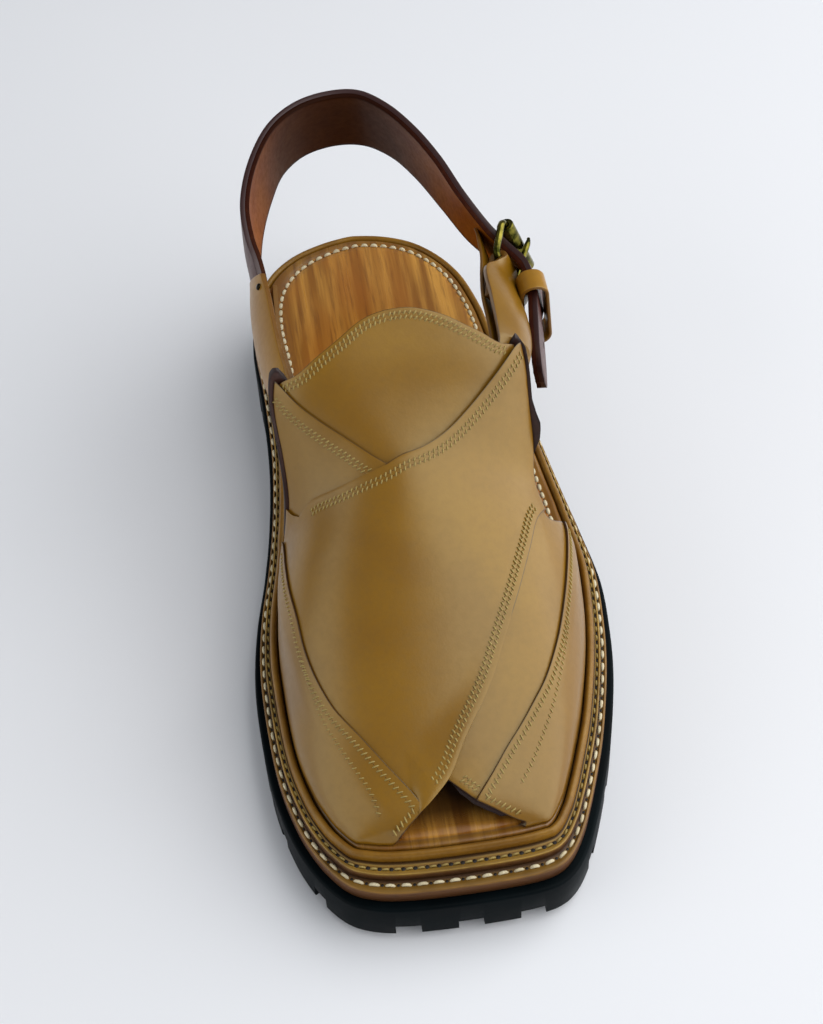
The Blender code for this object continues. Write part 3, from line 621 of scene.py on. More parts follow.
def mouldedRubber(name, main, second):
    # nitrile sole rubber from a blasted mould: near black with a cold green cast, satin, dull patches
    material, tree, shader, place = startMaterial(name)
    patch, grit = noise(tree, place, 22, 4, 0.6), noise(tree, place, 0.5)
    colour = tint(tree, patch, (0.35, 0.7), main, second)
    rough = spread(tree, patch, 0.3, 0.7, 0.42, 0.62)
    wireUp(tree, shader, colour, rough, ((patch, 0.3, 0.2), (grit, 0.06, 0.5)),
           {"Specular IOR Level": 0.06})
    return material


def polishedBed(name, dye, warm, toeShade, border):
    # vegetable tanned insole leather, stretched and glazed: long streaks along the foot, like wood grain
    material, tree, shader, place = startMaterial(name)
    streak = noise(tree, place, 5, 3, 0.55, (1, 0.045, 0.3))
    broad = noise(tree, place, 16, 2, 0.5, (1, 0.25, 0.5))
    colour = tint(tree, streak, (0.4, 0.6), dye[0], dye[1])
    colour = tint(tree, broad, (0.4, 0.7, 0, 0.7), colour, warm)
    fine = noise(tree, place, 0.9, 3, 0.6, (1, 0.05, 0.3))
    colour = tint(tree, fine, (0.5, 0.72, 0, 0.5), colour, dye[2])
    # painted shade on the footbed where the upper covers it, fading out at the heel end and at the toe's
    # front
    along = axisOf(tree, place, 1)
    covered = {0: spread(tree, along, -40, -62, 0, 0.8), 1: spread(tree, along, -123, -113.5, 0.15, 0.85)}
    covered = addNode(tree, "Math", {"operation": "MINIMUM"}, covered).outputs[0]
    colour = mixColour(tree, covered, colour, toeShade)
    # painted shade in the footbed's outer band, between its edge beside the rand and the seam
    colour = tint(tree, mark(tree, "margin"), (2.5, 3.2, 0.6, 0), colour, border)
    rough = spread(tree, streak, 0.3, 0.7, 0.24, 0.38)
    wireUp(tree, shader, colour, rough, ((streak, 0.15, 0.35), (fine, 0.05, 0.3)),
           {"Coat Weight": 0.2, "Coat Roughness": 0.3})
    return material


def waxedThread(name, main, second, soiled):
    # three strands of waxed thread, laid together: fine slanting twist, slight soiling
    material, tree, shader, place = startMaterial(name)
    twist, soil = noise(tree, place, 0.35, 2, 0.6), noise(tree, place, 9, 3)
    colour = tint(tree, twist, (0.35, 0.7), main, second)
    colour = tint(tree, soil, (0.45, 0.7, 0, 0.45), colour, soiled)
    wireUp(tree, shader, colour, 0.6, ((twist, 0.12, 0.6),))
    return material


def agedBrass(name, bright, toned):
    # cast brass, polished and then left to tone: bright gold and duller olive in random patches
    material, tree, shader, place = startMaterial(name)
    tone, scratch = noise(tree, place, 4, 4, 0.6), noise(tree, place, 0.4, 3, 0.6, (1, 1, 0.15))
    colour = tint(tree, tone, (0.3, 0.6), bright, toned)
    rough = spread(tree, tone, 0.35, 0.7, 0.14, 0.34)
    wireUp(tree, shader, colour, rough, ((scratch, 0.02, 0.4),), {"Metallic": 1})
    return material


pale = "#FFFBD2"
tabEdge = ("#6A4414", 0.1, 0.4, 0.25)
tanGrain = ((42, 2.2, 0.16), (0.8, 0.02), (0.29, 0.36))
tanDye = ("#865E0B", "#785109", "#523608")
finishes = {
    # oiled full grain: warm tan with a soft pale sheen; its dark edge band is partly the cut edge's colour
    # and partly a painted shadow line along the V and the wings
    "tan": leather("pullUpTanLeather", tanDye, *tanGrain, ("#35180A", 0.15, 0.55, 0.25), 0.8, pale),
    "tab": leather("pullUpTanTabLeather", tanDye, *tanGrain, tabEdge, 0.8, pale),
    # the same leather in a paler copy: painted light for the brightly lit tab and keeper
    "paintedLightTab": leather("paintedLightTanTabLeather", ("#9A6E1C", "#8A5C10", "#523608"), *tanGrain, tabEdge,
                       0.5, pale),
    # drum dyed lining: dark brown, matt
    "lining": leather("brownLiningLeather", ("#3A1A0E", "#2C120A", "#1A0A06"), (18, 1.6, 0.5), (0.7, 0.04),
                      (0.45, 0.55), ("#220C08", 0.2, 0.9, 0.3)),
    # bridle leather: plum brown face, waxed
    "strap": leather("bridleStrapLeather", ("#4E2418", "#401A12", "#28100C"), (26, 1.8, 0.3), (0.8, 0.025),
                     (0.36, 0.46), ("#2E1210", 0.3, 1.3, 0.5)),
    # russet lining, polished by wear, with painted shade darkening it round the heel
    "strapInside": leather("russetStrapLining", ("#90500A", "#7A3C06", "#442006"), (22, 2, 0.35),
                           (0.7, 0.025), (0.45, 0.55), ("#30120C", 0.3, 1.6, 0.6), 0.08, "#FFE0B0",
                           ("#1C0804", 88, 124)),
    # the upper's leather, rolled and rubbed darker in places
    "rand": leather("rolledRandLeather", ("#8A6018", "#744C0E", "#4A2C06"), (14, 1.4, 0.3), (0.6, 0.03),
                    (0.34, 0.46), sheen=pale),
    "midsole": stackedLeather("waxedMidsoleEdge", sole["midsole"], "#321604", "#74541A", (
        (0, "#1E0E04"), (0.12, "#422404"), (0.5, "#553004"), (0.82, "#643C08"), (0.95, "#8A6426"))),
    "welt": stackedLeather("waxedWeltEdge", sole["welt"], "#2A1204", "#80601E", (
        (0, "#180A04"), (0.15, "#3E2204"), (0.6, "#563206"), (0.85, "#7A5416"), (0.94, "#A8863A"))),
    "rubber": mouldedRubber("nitrileRubber", "#010507", "#040D10"),
    "bed": polishedBed("glazedInsoleLeather", ("#C8903C", "#8E5A12", "#5A300A"), "#A05C10", "#2E1806",
                       "#5C4012"),
    "whiteThread": waxedThread("whiteWaxedThread", "#DED4B6", "#C4B68E", "#9A875C"),
    "tanThread": waxedThread("tanWaxedThread", "#A48F50", "#8F7A40", "#7A6430"),
    # painted shade for the needle and awl holes, on flat discs
    "hole": waxedThread("needleHoleShade", "#644616", "#563A12", "#442C0C"),
    "deepHole": waxedThread("awlHoleShade", "#140A04", "#100804", "#0A0502"),
    "brass": agedBrass("agedBrass", "#8E8438", "#2E300E"),
    "pin": agedBrass("blackenedBrass", "#3A3018", "#1E1A10"),
}
print("finishes made:", len(finishes))


# Sole: rubber unit, midsole, welt, footbed and rand.
tread = {
    "lugDepth": 5.5, "groove": 5, "pitch": 16.5, "firstSide": -100, "firstHeel": 68,
    "sideReach": 17, "sideTurn": 0.16, "toeNotch": 8, "toePitch": 19.4, "edgeRound": 0.7,
    "sideLugs": 7, "heelLugs": 4, "toeMiddle": (-3.5, -141, 1.5), "notchLength": 26,
    "cornerNotches": ((-50, -125, -0.9), (40, -126, 0.9)),  # x, y, turn
    "centre": ((6, -100, 46), (3, 68, 34)),  # count, first y, width
}


def boxAt(edit, centre, size, turn=0):
    spun = Matrix.Translation(Vector(centre) * mm) @ Matrix.Rotation(turn, 4, "Z")
    scaled = Matrix.Diagonal([side * mm for side in size] + [1])
    bmesh.ops.create_cube(edit, size=1, matrix=spun @ scaled)


def cutWith(piece, edit):
    mesh = bpy.data.meshes.new("cutter")
    edit.to_mesh(mesh)
    edit.free()
    cutter = newObject("cutter", mesh)
    boolean = piece.modifiers.new("cut", "BOOLEAN")
    boolean.operation = "DIFFERENCE"
    boolean.solver = "EXACT"
    boolean.object = cutter
    applyModifiers(piece)
    bpy.data.objects.remove(cutter, do_unlink=True)
    return piece


def makeOutsole():
    rings = layerRings("outsole", 0, sole["outsoleTop"], 1.1, floorOf=archHeight)
    outsole = ringLoft("outsoleUnit", rings, "rubber", ("outsole",))
    depth, groove, pitch = tread["lugDepth"], tread["groove"], tread["pitch"]
    reach, notch, length = tread["sideReach"], tread["toeNotch"], tread["notchLength"]
    ys, medial, lateral = edgesTable("outsole")
    sides, toes, middles = [], [], []
    stations = [tread["firstSide"] + pitch * k for k in range(tread["sideLugs"])]
    for y in stations + [tread["firstHeel"] + pitch * k for k in range(tread["heelLugs"])]:
        for edge, side in ((np.interp(y, ys, medial), -1), (np.interp(y, ys, lateral), 1)):
            middle, size = (edge - side * (reach / 2 - 6), y, 0), (reach + 12, groove, 2 * depth)
            sides.append((middle, size, side * tread["sideTurn"]))
    x, y, z = tread["toeMiddle"]
    for k in (-1, 0, 1):
        toes.append(((x + k * tread["toePitch"], y, z), (notch, length, 2 * depth + 3)))
    for x, y, turn in tread["cornerNotches"]:
        toes.append(((x, y, 1), (notch - 2, length - 4, 2 * depth + 2), turn))
    for count, first, width in tread["centre"]:
        for k in range(count):
            middles.append(((-2, first + pitch * (k + 0.5), 0), (width, groove, 2 * depth - 2)))
    for boxes in (sides, toes, middles):
        edit = bmesh.new()
        for box in boxes:
            boxAt(edit, *box)
        cutWith(outsole, edit)
    roundEdges(outsole, tread["edgeRound"], 35)
    outsole.data.set_sharp_from_angle(angle=math.radians(42))


def seamShift(loop):
    # the insole's seam lies nearer the lateral edge round the heel
    moved = loop.copy()
    lateral, medial = sole["seamShift"]
    shift = lateral + (medial - lateral) * smooth(10, -30, loop[:, 0])
    moved[:, 0] += shift * smooth(-5, 40, loop[:, 1])
    return moved


def makeLayer(name, node, corner, finish, topRows, towards=None, outline=None, extra=0):
    rings = layerRings(outline or node, *sole[node], corner, topRows, extra, towards=towards)
    if outline:
        rings[-5:] = [seamShift(one) for one in rings[-5:]]
    piece = ringLoft(name, rings, finish, (node,))
    # margin is how far in each point lies, for the band of painted shade in the corner against the next
    # piece
    margin = np.repeat([0] * (len(rings) - len(topRows)) + [row[0] for row in topRows], len(ring))
    values = piece.data.attributes.new("margin", "FLOAT", "POINT").data
    values.foreach_set("value", margin.astype(np.float32))


def makeLayers():
    makeLayer("midsoleLayer", "midsole", 0.7, "midsole", (
        (0.25, 0), (0.42, 0.05), (0.52, 0.35), (0.78, 0.35), (0.88, 0.05), (1.3, 0)), "welt")
    makeLayer("weltLayer", "welt", 0.45, "welt", (
        (0.22, 0), (0.30, 0.1), (0.38, 0.8), (0.70, 0.8), (0.78, 0.1), (0.9, 0), (1.4, 0)), "rand")
    makeLayer("footbedLeather", "footbed", 1, "bed", (
        (1.3, 0), (2.7, 0), (3, 0.28), (4, 0.28), (4.3, 0), (6.5, 0)),
              outline="rand", extra=sole["randWidth"] + sole["bedGap"])


def makeRand():
    outer, inner = insetRing("rand"), insetRing("rand", sole["randWidth"])
    level, rings = sole["footbed"][0], []
    for step in range(15):
        turn = pi * step / 14
        across, up = 0.5 - 0.5 * math.cos(turn), 0.18 + 0.82 * math.sin(turn) ** 0.75
        rings.append(raised(outer + (inner - outer) * across, level + sole["randHeight"] * up))
    rings.append(raised(inner, level))
    rings.insert(0, raised(outer, level))
    ringLoft("randBead", rings, "rand", ("rand",), caps=False)


makeOutsole()
makeLayers()
makeRand()
print("sole made")

# Upper: a brown lining, the tongue, two crossed straps and a wing on each side, one on the other.
panels = {
    # the lining's front line; on the lateral side it reaches past the opening, so its dark edge under the
    # wing's front edge is real lining that also stands in for the shade in that gap
    "linedFront": ((-119, 0), (-119.5, 15), (-121, 41), (-120.6, 63), (-119, 72), (-116.9, 79.8),
        (-112.6, 90), (-117, 93.8), (-120.3, 100.5), (-122.3, 108.7), (-124, 119.2), (-124, 128),
        (-122.5, 140), (-119.5, 165), (-119, 180)),
    "openMedial": ((-112.4, 90), (-115.1, 85.5), (-117.8, 79.8), (-119.4, 74)),
    "openLateral": ((-112.4, 90), (-115.1, 93.8), (-118.2, 100), (-120.4, 108)),
    "overLow": ((-17, 143.2), (-37, 138.6), (-51, 134.2), (-62.6, 127), (-73.5, 119.4), (-82.4, 113.2),
        (-92.6, 105.8), (-102.1, 97.6), (-112.4, 90)),
    "overTop": ((-13.6, 133.8), (-18.4, 127.2), (-20.9, 121.6), (-24.8, 115.1), (-27.4, 111.7),
        (-30, 108.5), (-32.8, 105.4), (-35.5, 101.8), (-38.2, 96.5), (-39.8, 91.5), (-40.5, 83)),
    "overFold": ((-40.5, 83), (-40.4, 80), (-39.8, 70.5), (-38.9, 58.5), (-36.8, 48), (-32.7, 39.7),
        (-27.2, 34.3), (-17, 28)),
    "underTop": ((-17, 47.6), (-20.4, 53.4), (-23.8, 58.6), (-28.6, 66), (-32.7, 72), (-36.4, 77),
        (-40.5, 83.6)),
    "medialWing": ((-17, 19), (-30, 25), (-44, 30.5), (-56.5, 35.2), (-66, 37), (-75, 40.5), (-81.7, 45),
        (-87.8, 50.2), (-94, 56.2), (-100.8, 62.2), (-106.9, 67.5), (-111.7, 72), (-116.4, 76),
        (-118.4, 77.4)),
    "lateralWing": ((-17, 161.5), (-29.3, 156.2), (-44.2, 151), (-66, 144.6), (-81.7, 138.4),
        (-90.6, 131.2), (-98.7, 123.7), (-104.9, 116.4), (-111, 110), (-118.5, 100.5)),
    "medialSecond": ((-66, 34.6), (-74, 36.2), (-81, 38.4), (-88, 41.2), (-96.7, 46), (-104.2, 50.4),
        (-109.6, 53.6), (-114.5, 54), (-120.4, 50)),
    "lateralSecond": ((-60, 151.4), (-67.4, 149.6), (-81, 145.6), (-94.7, 140.6), (-104.9, 134.6),
        (-112, 129), (-117.1, 122.5)),
    "medialFront": ((-118.4, 77.4), (-120.2, 72), (-122.2, 63), (-124, 41.2), (-124.5, 15)),
    "lateralFront": ((-118.5, 100.5), (-120.5, 108.7), (-122.6, 119.2), (-123.9, 130), (-125, 156)),
    "lining": (2.45, 3), "tongue": (1.55, 2.4), "under": (0.6, 1.5), "over": (-0.35, 0.55),
    "medialWingEdge": (-1.1, -0.4), "lateralWingEdge": (-0.3, 0.5), "wingFoot": (0, 1.4),
    "medialToe": -124.5, "lateralToe": -125.2, "tongueFront": -62, "tongueSpan": (46.5, 132.5),
    "overLift": 1.2, "cornerRound": 0.28,
    "liningSpans": ((0, 128, 110), (128.4, 147, 60), (147.8, 180, 30)),  # degrees, count
}


def flatDepths(key, lifted=0):
    # lifted: how far the front of the low edge stands up
    top, bottom = panels[key]

    def depths(share, station):
        up = (0.15 + 0.85 * smooth(-72, -106, station)) * lifted * smooth(0.14, 0, share)
        return top - up, bottom - up
    return depths


def wingDepths(key):
    def depths(share, station):
        settle = smooth(0.45, 0.9, share)
        edge, foot = panels[key], panels["wingFoot"]
        return edge[0] + (foot[0] - edge[0]) * settle, edge[1] + (foot[1] - edge[1]) * settle
    return depths


def archTrim(degrees):
    return np.interp(degrees, *np.array(upperForm["archTrim"]).T)


def archRows(low, high):
    # the arch's edge between two degrees
    degrees = [low] + [row[0] for row in upperForm["archTrim"] if low < row[0] < high] + [high]
    return tuple((rear + archTrim(d), d) for d in degrees)


def makeLining():
    # the columns lie closer together at the arch's lateral corner
    degrees = np.concatenate([np.linspace(*span) for span in panels["liningSpans"]])
    frontRow = np.array(panels["linedFront"])
    frontLine = np.interp(degrees, frontRow[:, 1], frontRow[:, 0]) + 0.7
    shareAlong = np.linspace(0, 1, 96)[:, None]
    station = frontLine + (rear - 0.5 + archTrim(degrees) - frontLine) * shareAlong
    places = np.stack([station, np.broadcast_to(degrees, station.shape)], axis=-1)
    top, bottom = panels["lining"]
    sheetPiece("upperLining", upperAt(places, top), upperAt(places, bottom), "lining", "upper_leather",
               ("upper",), 0.2)


lips = {  # the lining's edge turned outwards beside the ankle: degrees and how far it stands out
    "medialLip": ((17, 0.4), (20, 1), (30, 1.3), (42, 1.4), (47, 1.5), (50.5, 1.2), (53, 0.2)),
    "lateralLip": ((131.5, 0.1), (133, 0.4), (134.2, 0.9), (135.4, 2.2), (137.6, 2.4), (138.3, 3.3),
        (138.8, 4.3), (139.2, 3.7), (139.5, 1.8), (139.8, 0.3)),
    # mm along the station, depth, share of the stand
    "outer": ((-4, 3.1, 0), (-0.2, 3.1, 0), (0.3, 2, 0), (0.8, 0.9, 0.5), (1, 0.9, 1)),
    "inner": ((-4, 3.7, 0), (0.6, 3.7, 0), (1.4, 2.5, 0), (1.8, 0.9, 0.4), (2, 0.9, 1)),
}


def makeLips():
    for name in ("medialLip", "lateralLip"):
        line = evenly(np.array([(rear + archTrim(row[0]), *row) for row in lips[name]]), 240)
        line = evenly(line, 90, None, upperAt(line[:, :2]))
        sides = []
        for key in ("outer", "inner"):
            sides.append(np.array([upperAt(line[:, :2] + (along, 0), depth - flare * line[:, 2])
                                   for along, depth, flare in lips[key]]))
        sheetPiece(name, *sides, "lining", "upper_leather", (), 0.25)


def foldedEdge(station, degrees):
    # the upper strap's edge is folded, and stays light, low on the medial side and towards the toe
    side = smooth(82, 78, degrees) * smooth(-70, -60, station)
    return 6 * np.maximum(side, smooth(-70, -90, station))


def makePanels():
    p = panels
    archLine, start = archRows(*p["tongueSpan"]), p["tongueFront"]
    frontLine = tuple((start, d) for _, d in archLine)
    upperPanel("tongue", archLine, frontLine, (archLine[0], frontLine[0]), (archLine[-1], frontLine[-1]),
               (170, 40), flatDepths("tongue"))
    upperPanel("underStrap",
               (((-17, 22), (-45, 38), (-75, 52)), ((-75, 52), (-95, 68), (-112.4, 90)),
                p["openLateral"][:2], p["openLateral"][1:]),
               (p["underTop"], ((-40.5, 83.6), (-46, 100), (-44, 122), (-17, 140)),
                ((rear, 140), (rear, 168)),
                ((rear, 168), (-44, 160), (-66, 153), (-88, 142.5), (-104.9, 126), (-115, 114))),
               ((rear, 22), (rear, 47.6)), (p["openLateral"][-1], (-115, 114)), ((60, 60, 24, 70), 56),
               flatDepths("under"))
    upperPanel("overStrap",
               (p["overLow"][:5], p["overLow"][4:], p["openMedial"][:2], p["openMedial"][1:]),
               (p["overTop"], p["overFold"], ((rear, 28), (rear, 10)),
                ((rear, 10), (-44, 21.5), (-66, 28), (-88, 41), (-107, 57.5), (-116.5, 68))),
               ((rear, 143.2), (-16.8, 139.5), (-15.7, 136.8), (-13.6, 133.8)),
               (p["openMedial"][-1], (-116.5, 68)), ((70, 70, 20, 70), 64),
               flatDepths("over", p["overLift"]), foldedEdge)
    for side, foot in (("medial", 0), ("lateral", 180)):
        wing, toe = p[side + "Wing"], p[side + "Toe"]
        upperPanel(side + "Wing", wing, tuple((s, foot) for s in np.linspace(rear, toe, 8)),
                   ((rear, wing[0][1]), (rear, foot)), p[side + "Front"] + ((toe, foot),), (150, 44),
                   wingDepths(side + "WingEdge"))


makeLining()
makeLips()
makePanels()
print("upper made")

# Straps, from their outer faces: top x, y, z, bottom x, y, z, bulge.
straps = {
    "medialTab": ((-33.4, -2, 96.5, -35.8, -3, 90, 1), (-35.9, 7, 98, -39.4, 6, 85, 1.6),
        (-37.4, 18, 99.6, -42, 17, 79, 2.6), (-38.3, 32, 100.8, -44, 34, 77, 3.2),
        (-38.9, 46, 101, -44.2, 54, 78, 3.2), (-40, 57, 100.5, -42.8, 72, 79, 2.4)),
    "medialLining": ((-32, -2, 94.5, -34.4, -2, 88, 1), (-34.3, 7, 96, -37.8, 7, 84, 1.6),
        (-36, 18, 97.3, -40.2, 17, 79.5, 2.2), (-37.1, 32, 98, -41, 32, 77.5, 2.4),
        (-37, 43, 98, -39.2, 44, 79, 1.6), (-36.5, 54, 97.4, -38.2, 58, 80.5, 1)),
    "heelStrap": ((-40.8, 46, 94, -42.6, 47, 79.5, 2), (-40.8, 56, 97.2, -42.4, 60, 80.5, 1.6),
        (-41.8, 64, 100.6, -42.6, 68, 81, 1.4), (-43.4, 73, 102.5, -42.2, 78, 82, 1.4),
        (-43.6, 87, 105, -40, 93, 83, 1), (-39, 104, 108.5, -35, 112, 83, 0.6),
        (-30, 120.5, 111, -28, 128.5, 83, 0.5), (-19.5, 128.5, 112.5, -18, 138, 83, 0.5),
        (-7.5, 131.5, 113, -5, 142, 82.5, 0.5), (3, 130, 113, 6, 139.5, 82.5, 0.5),
        (12, 122.5, 112, 15.5, 130.5, 82.5, 0.6), (20, 111, 110, 23, 117, 82, 0.8),
        (27, 97, 107, 30, 100, 80.5, 1), (33, 82, 102.5, 37, 83, 79, 1), (39.8, 70, 97, 46, 70, 77.5, 0.4),
        (42.8, 66, 95.2, 49.4, 66, 76.2, 0.4), (46, 61, 94.2, 53, 61, 74.8, 0.4),
        (49.4, 55, 93.4, 56, 55, 73.8, 0.4), (50.9, 46, 90.6, 53.4, 46, 71.2, 0.4),
        (49.4, 34, 88.6, 52.2, 34, 69, 0.4), (47.6, 21.5, 86.9, 50.5, 21.5, 67.2, 0.4),
        (47.4, 18.5, 85.4, 49.9, 18.5, 68.4, 0.3), (47.3, 16.2, 82.8, 49.2, 16.2, 70.6, 0.2),
        (47.5, 15.2, 79.2, 48.3, 15.2, 74.2, 0.1)),
    "outerLeg": ((30, -3, 100, 34, -3, 92, 2.4), (32.3, 6, 101.5, 39.4, 6, 88, 3.6),
        (33, 17, 102.5, 43.6, 17, 84, 4.8), (33.7, 32, 102, 45.9, 32, 78, 4.8),
        (34.8, 48, 99.6, 46.8, 48, 75.5, 3.4), (39.5, 53.5, 95.8, 49.6, 53.5, 74.2, 1.6)),
    "innerLeg": ((34.8, 48, 95.5, 42, 48, 73.5, -1), (32, 36, 97, 41, 36, 74, -1.8)),
    "guard": ((28.4, -3, 97, 31.4, -3, 90, 1), (30.2, 8, 98.5, 36.6, 8, 85, 1.6),
        (31.1, 22, 98.5, 39.6, 22, 78, 1.6), (31.6, 36, 97, 39.6, 36, 75, 1.2),
        (33.2, 48, 95, 40.2, 48, 74, 0.7), (34.8, 57, 95, 41.4, 57, 75, 0.5),
        (35.4, 65, 93.8, 40.6, 65, 77, 0.4), (35.8, 71, 92.8, 39, 71, 80.5, 0.3),
        (35.9, 76, 91, 36.9, 76, 86, 0.1)),
    "tabThick": 1.8, "liningThick": 1.5, "strapFace": (0, 1.7), "strapInside": (1.75, 3.2),
    "buckleThick": 1.8, "guardThick": 1, "tuck": 3.6, "layerGap": 0.6,
    "barSlot": (3, 1.7), "foldSlot": (2.4, 1.7),  # half length, radius
    "tailHoles": ((50.9, 37.5, 78.9), (49.6, 28.5, 77.7)), "tailHole": 1.3,
    "tabGrid": (70, 26), "pinAt": (62, 3),
    "pinHeights": (-1.2, 0.2, 0.5, 0.75, 0.85), "pinRadii": (1.2, 1.2, 1.1, 0.75, 0.2),
}
buckle = {  # bar, roller and keeper are middles, half and the like are along them
    "tilt": math.radians(20.4), "bar": (44, 57, 83), "roller": (48.5, 70, 85.5), "wire": 1.25,
    "half": 13.4, "corner": 2.2, "foldHalf": 11, "foldRadius": 3.35, "rollerRadius": 3,
    "rollerHalf": 11, "rollerBore": 1.55, "rollerCorner": 0.4,
    "prong": 1, "prongTip": 1, "prongGap": 0.3, "prongRest": 0.78,
    "keeper": (50.4, 45.5, 79.4), "keeperInside": (3.7, 12.5), "keeperCorner": 3.2, "keeperThick": 1.2,
    "keeperWidth": 9, "keeperTilt": math.radians(4),
}


def underUpper(points, depth):
    # points moved in towards the middle of the foot until they lie depth below the upper's face
    x, y, z = points[..., 0], points[..., 1], points[..., 2]
    medial, lateral, base, crest, power, crestX = upperSection(y, depth)
    half = np.where(x < crestX, crestX - medial, lateral - crestX)
    reach = (np.abs(x - crestX) / half) ** power + (np.maximum(z - base, 0) / (crest - base)) ** power
    scale = np.minimum(np.maximum(reach, 1e-6) ** (-1 / power), 1)
    return np.stack([crestX + (x - crestX) * scale, y, base + (z - base) * scale], axis=-1)


def bandGrid(rows, samples, across, facing, depth, tucked=None):
    # a grid depth mm inside the outer face that the rows give
    curve = spline(rows, samples)
    top, bottom, bulge = curve[:, 0:3], curve[:, 3:6], curve[:, 6:7]
    run = np.gradient(0.5 * (top + bottom), axis=0)
    normal = unit(np.cross(run, top - bottom) * facing)
    width = np.linalg.norm(bottom - top, axis=1, keepdims=True)
    down = (bottom - top) / width
    t = np.linspace(0, 1, across)[None, :, None]
    face = top[:, None] + (bottom - top)[:, None] * t + (normal * bulge)[:, None] * 4 * t * (1 - t)
    away = unit(normal[:, None] - (down * bulge * 4 / width)[:, None] * (1 - 2 * t))
    grid = face - away * depth
    if tucked is not None:
        hidden = (face[..., 1] < upperForm["strapsLeaveAt"])[..., None]
        grid = np.where(hidden, underUpper(grid, tucked + depth), grid)
    return grid


def bandPiece(name, rows, size, facing, depths, finish, slotName, standsFor=(), tucked=None, corner=0.35):
    outer, inner = (bandGrid(rows, *size, facing, depth, tucked) for depth in depths)
    return sheetPiece(name, outer, inner, finish, slotName, standsFor, corner)


def byBuckle(centre, up, out=0, back=0):
    x, y, z = centre
    cosine, sine = math.cos(buckle["tilt"]), math.sin(buckle["tilt"])
    return np.array((x - up * sine + out * cosine, y + back, z + up * cosine + out * sine))


def foldRows(steps=8):
    rows = []
    for step in range(steps + 1):
        angle = pi * (0.5 - step / steps)
        out, back = buckle["foldRadius"] * math.sin(angle), buckle["foldRadius"] * math.cos(angle)
        top = byBuckle(buckle["bar"], buckle["foldHalf"], out, back)
        bottom = byBuckle(buckle["bar"], -buckle["foldHalf"], out, back)
        rows.append((*top, *bottom, 0))
    return tuple(rows)


def roundedLoop(halfA, halfB, corner, steps=7):
    points = []
    for quarter, (sideA, sideB) in enumerate(((1, 1), (-1, 1), (-1, -1), (1, -1))):
        for step in range(steps):
            turn = 0.5 * pi * (quarter + step / (steps - 1))
            points.append((sideA * (halfA - corner) + corner * math.cos(turn),
                           sideB * (halfB - corner) + corner * math.sin(turn)))
    return points


def tube(name, path, radii, finish, standsFor=(), closed=False, sides=14):
    # a round wire through the path; an open one is closed with flat ends
    path = np.array(path, float)
    run = np.roll(path, -1, axis=0) - np.roll(path, 1, axis=0) if closed else np.gradient(path, axis=0)
    run = unit(run)
    side = unit(np.cross(run[0], (0.3, 0.2, 1)))
    verts = []
    for point, ahead, radius in zip(path, run, radii):
        side = unit(side - ahead * np.dot(side, ahead))
        verts += circle(point, side, np.cross(ahead, side), radius, sides)
    faces = lattice(len(path), sides, True, True) if closed else rodFaces(len(path), sides)
    return newPiece(name, verts, faces, finish, standsFor, 60)


def slotCutter(edit, centre, halfLong, radius, steps=20, through=6):
    # a round-ended slot through the strap beside the buckle, or a hole where halfLong is 0
    verts = []
    for out in (-through, through):
        for k in range(steps):
            turn = 2 * pi * k / steps
            back = radius * math.cos(turn) + math.copysign(halfLong, math.cos(turn))
            verts.append(edit.verts.new(Vector(byBuckle(centre, radius * math.sin(turn), out, back)) * mm))
    for face in rodFaces(2, steps):
        edit.faces.new([verts[k] for k in face])
    bmesh.ops.recalc_face_normals(edit, faces=edit.faces)


def makeStraps():
    s, tuck = straps, straps["tuck"]
    bandPiece("medialTabLeather", s["medialTab"], s["tabGrid"], -1, (0, s["tabThick"]), "paintedLightTab",
              "upper_leather", ("medial_tab",), tuck)
    bandPiece("medialTabLining", s["medialLining"], (60, 24), -1, (0, s["liningThick"]), "tab",
              "upper_leather", ("medial_tab_lining",), tuck + s["tabThick"] + s["layerGap"])
    for name, key, finish, standsFor in (("heelStrapFace", "strapFace", "strap", ("heel_strap",)),
                                         ("heelStrapInside", "strapInside", "strapInside", ())):
        piece = bandPiece(name, s["heelStrap"], (300, 22), -1, s[key], finish, "strap_leather",
                          standsFor, corner=0.4)
        edit = bmesh.new()
        slotCutter(edit, byBuckle(buckle["bar"], 0.2, 6, 3), *s["barSlot"])
        for place in s["tailHoles"]:
            slotCutter(edit, place, 0, s["tailHole"])
        cutWith(piece, edit)
    rows = s["outerLeg"] + foldRows() + s["innerLeg"]
    strap = bandPiece("buckleStrapLeather", rows, (130, 24), 1, (0, s["buckleThick"]), "tab",
                      "upper_leather", ("buckle_strap",), tuck)
    edit = bmesh.new()
    slotCutter(edit, byBuckle(buckle["bar"], 0, 0, -0.2), *s["foldSlot"])
    cutWith(strap, edit)
    face = bandGrid(s["medialTab"], *s["tabGrid"], -1, 0, tuck)
    i, j = s["pinAt"]
    spot, below, ahead = face[i, j], face[i, j + 1], face[i + 1, j]
    out = unit(np.cross(below - spot, ahead - spot))
    out = out if out[0] < 0 else -out
    tube("tabPin", [spot + out * height for height in s["pinHeights"]], s["pinRadii"], "pin", sides=16)
    bandPiece("buckleGuardLeather", s["guard"], (90, 22), 1, (0, s["guardThick"]), "tab", "upper_leather",
              ("buckle_guard",), tuck + s["buckleThick"] + s["layerGap"])


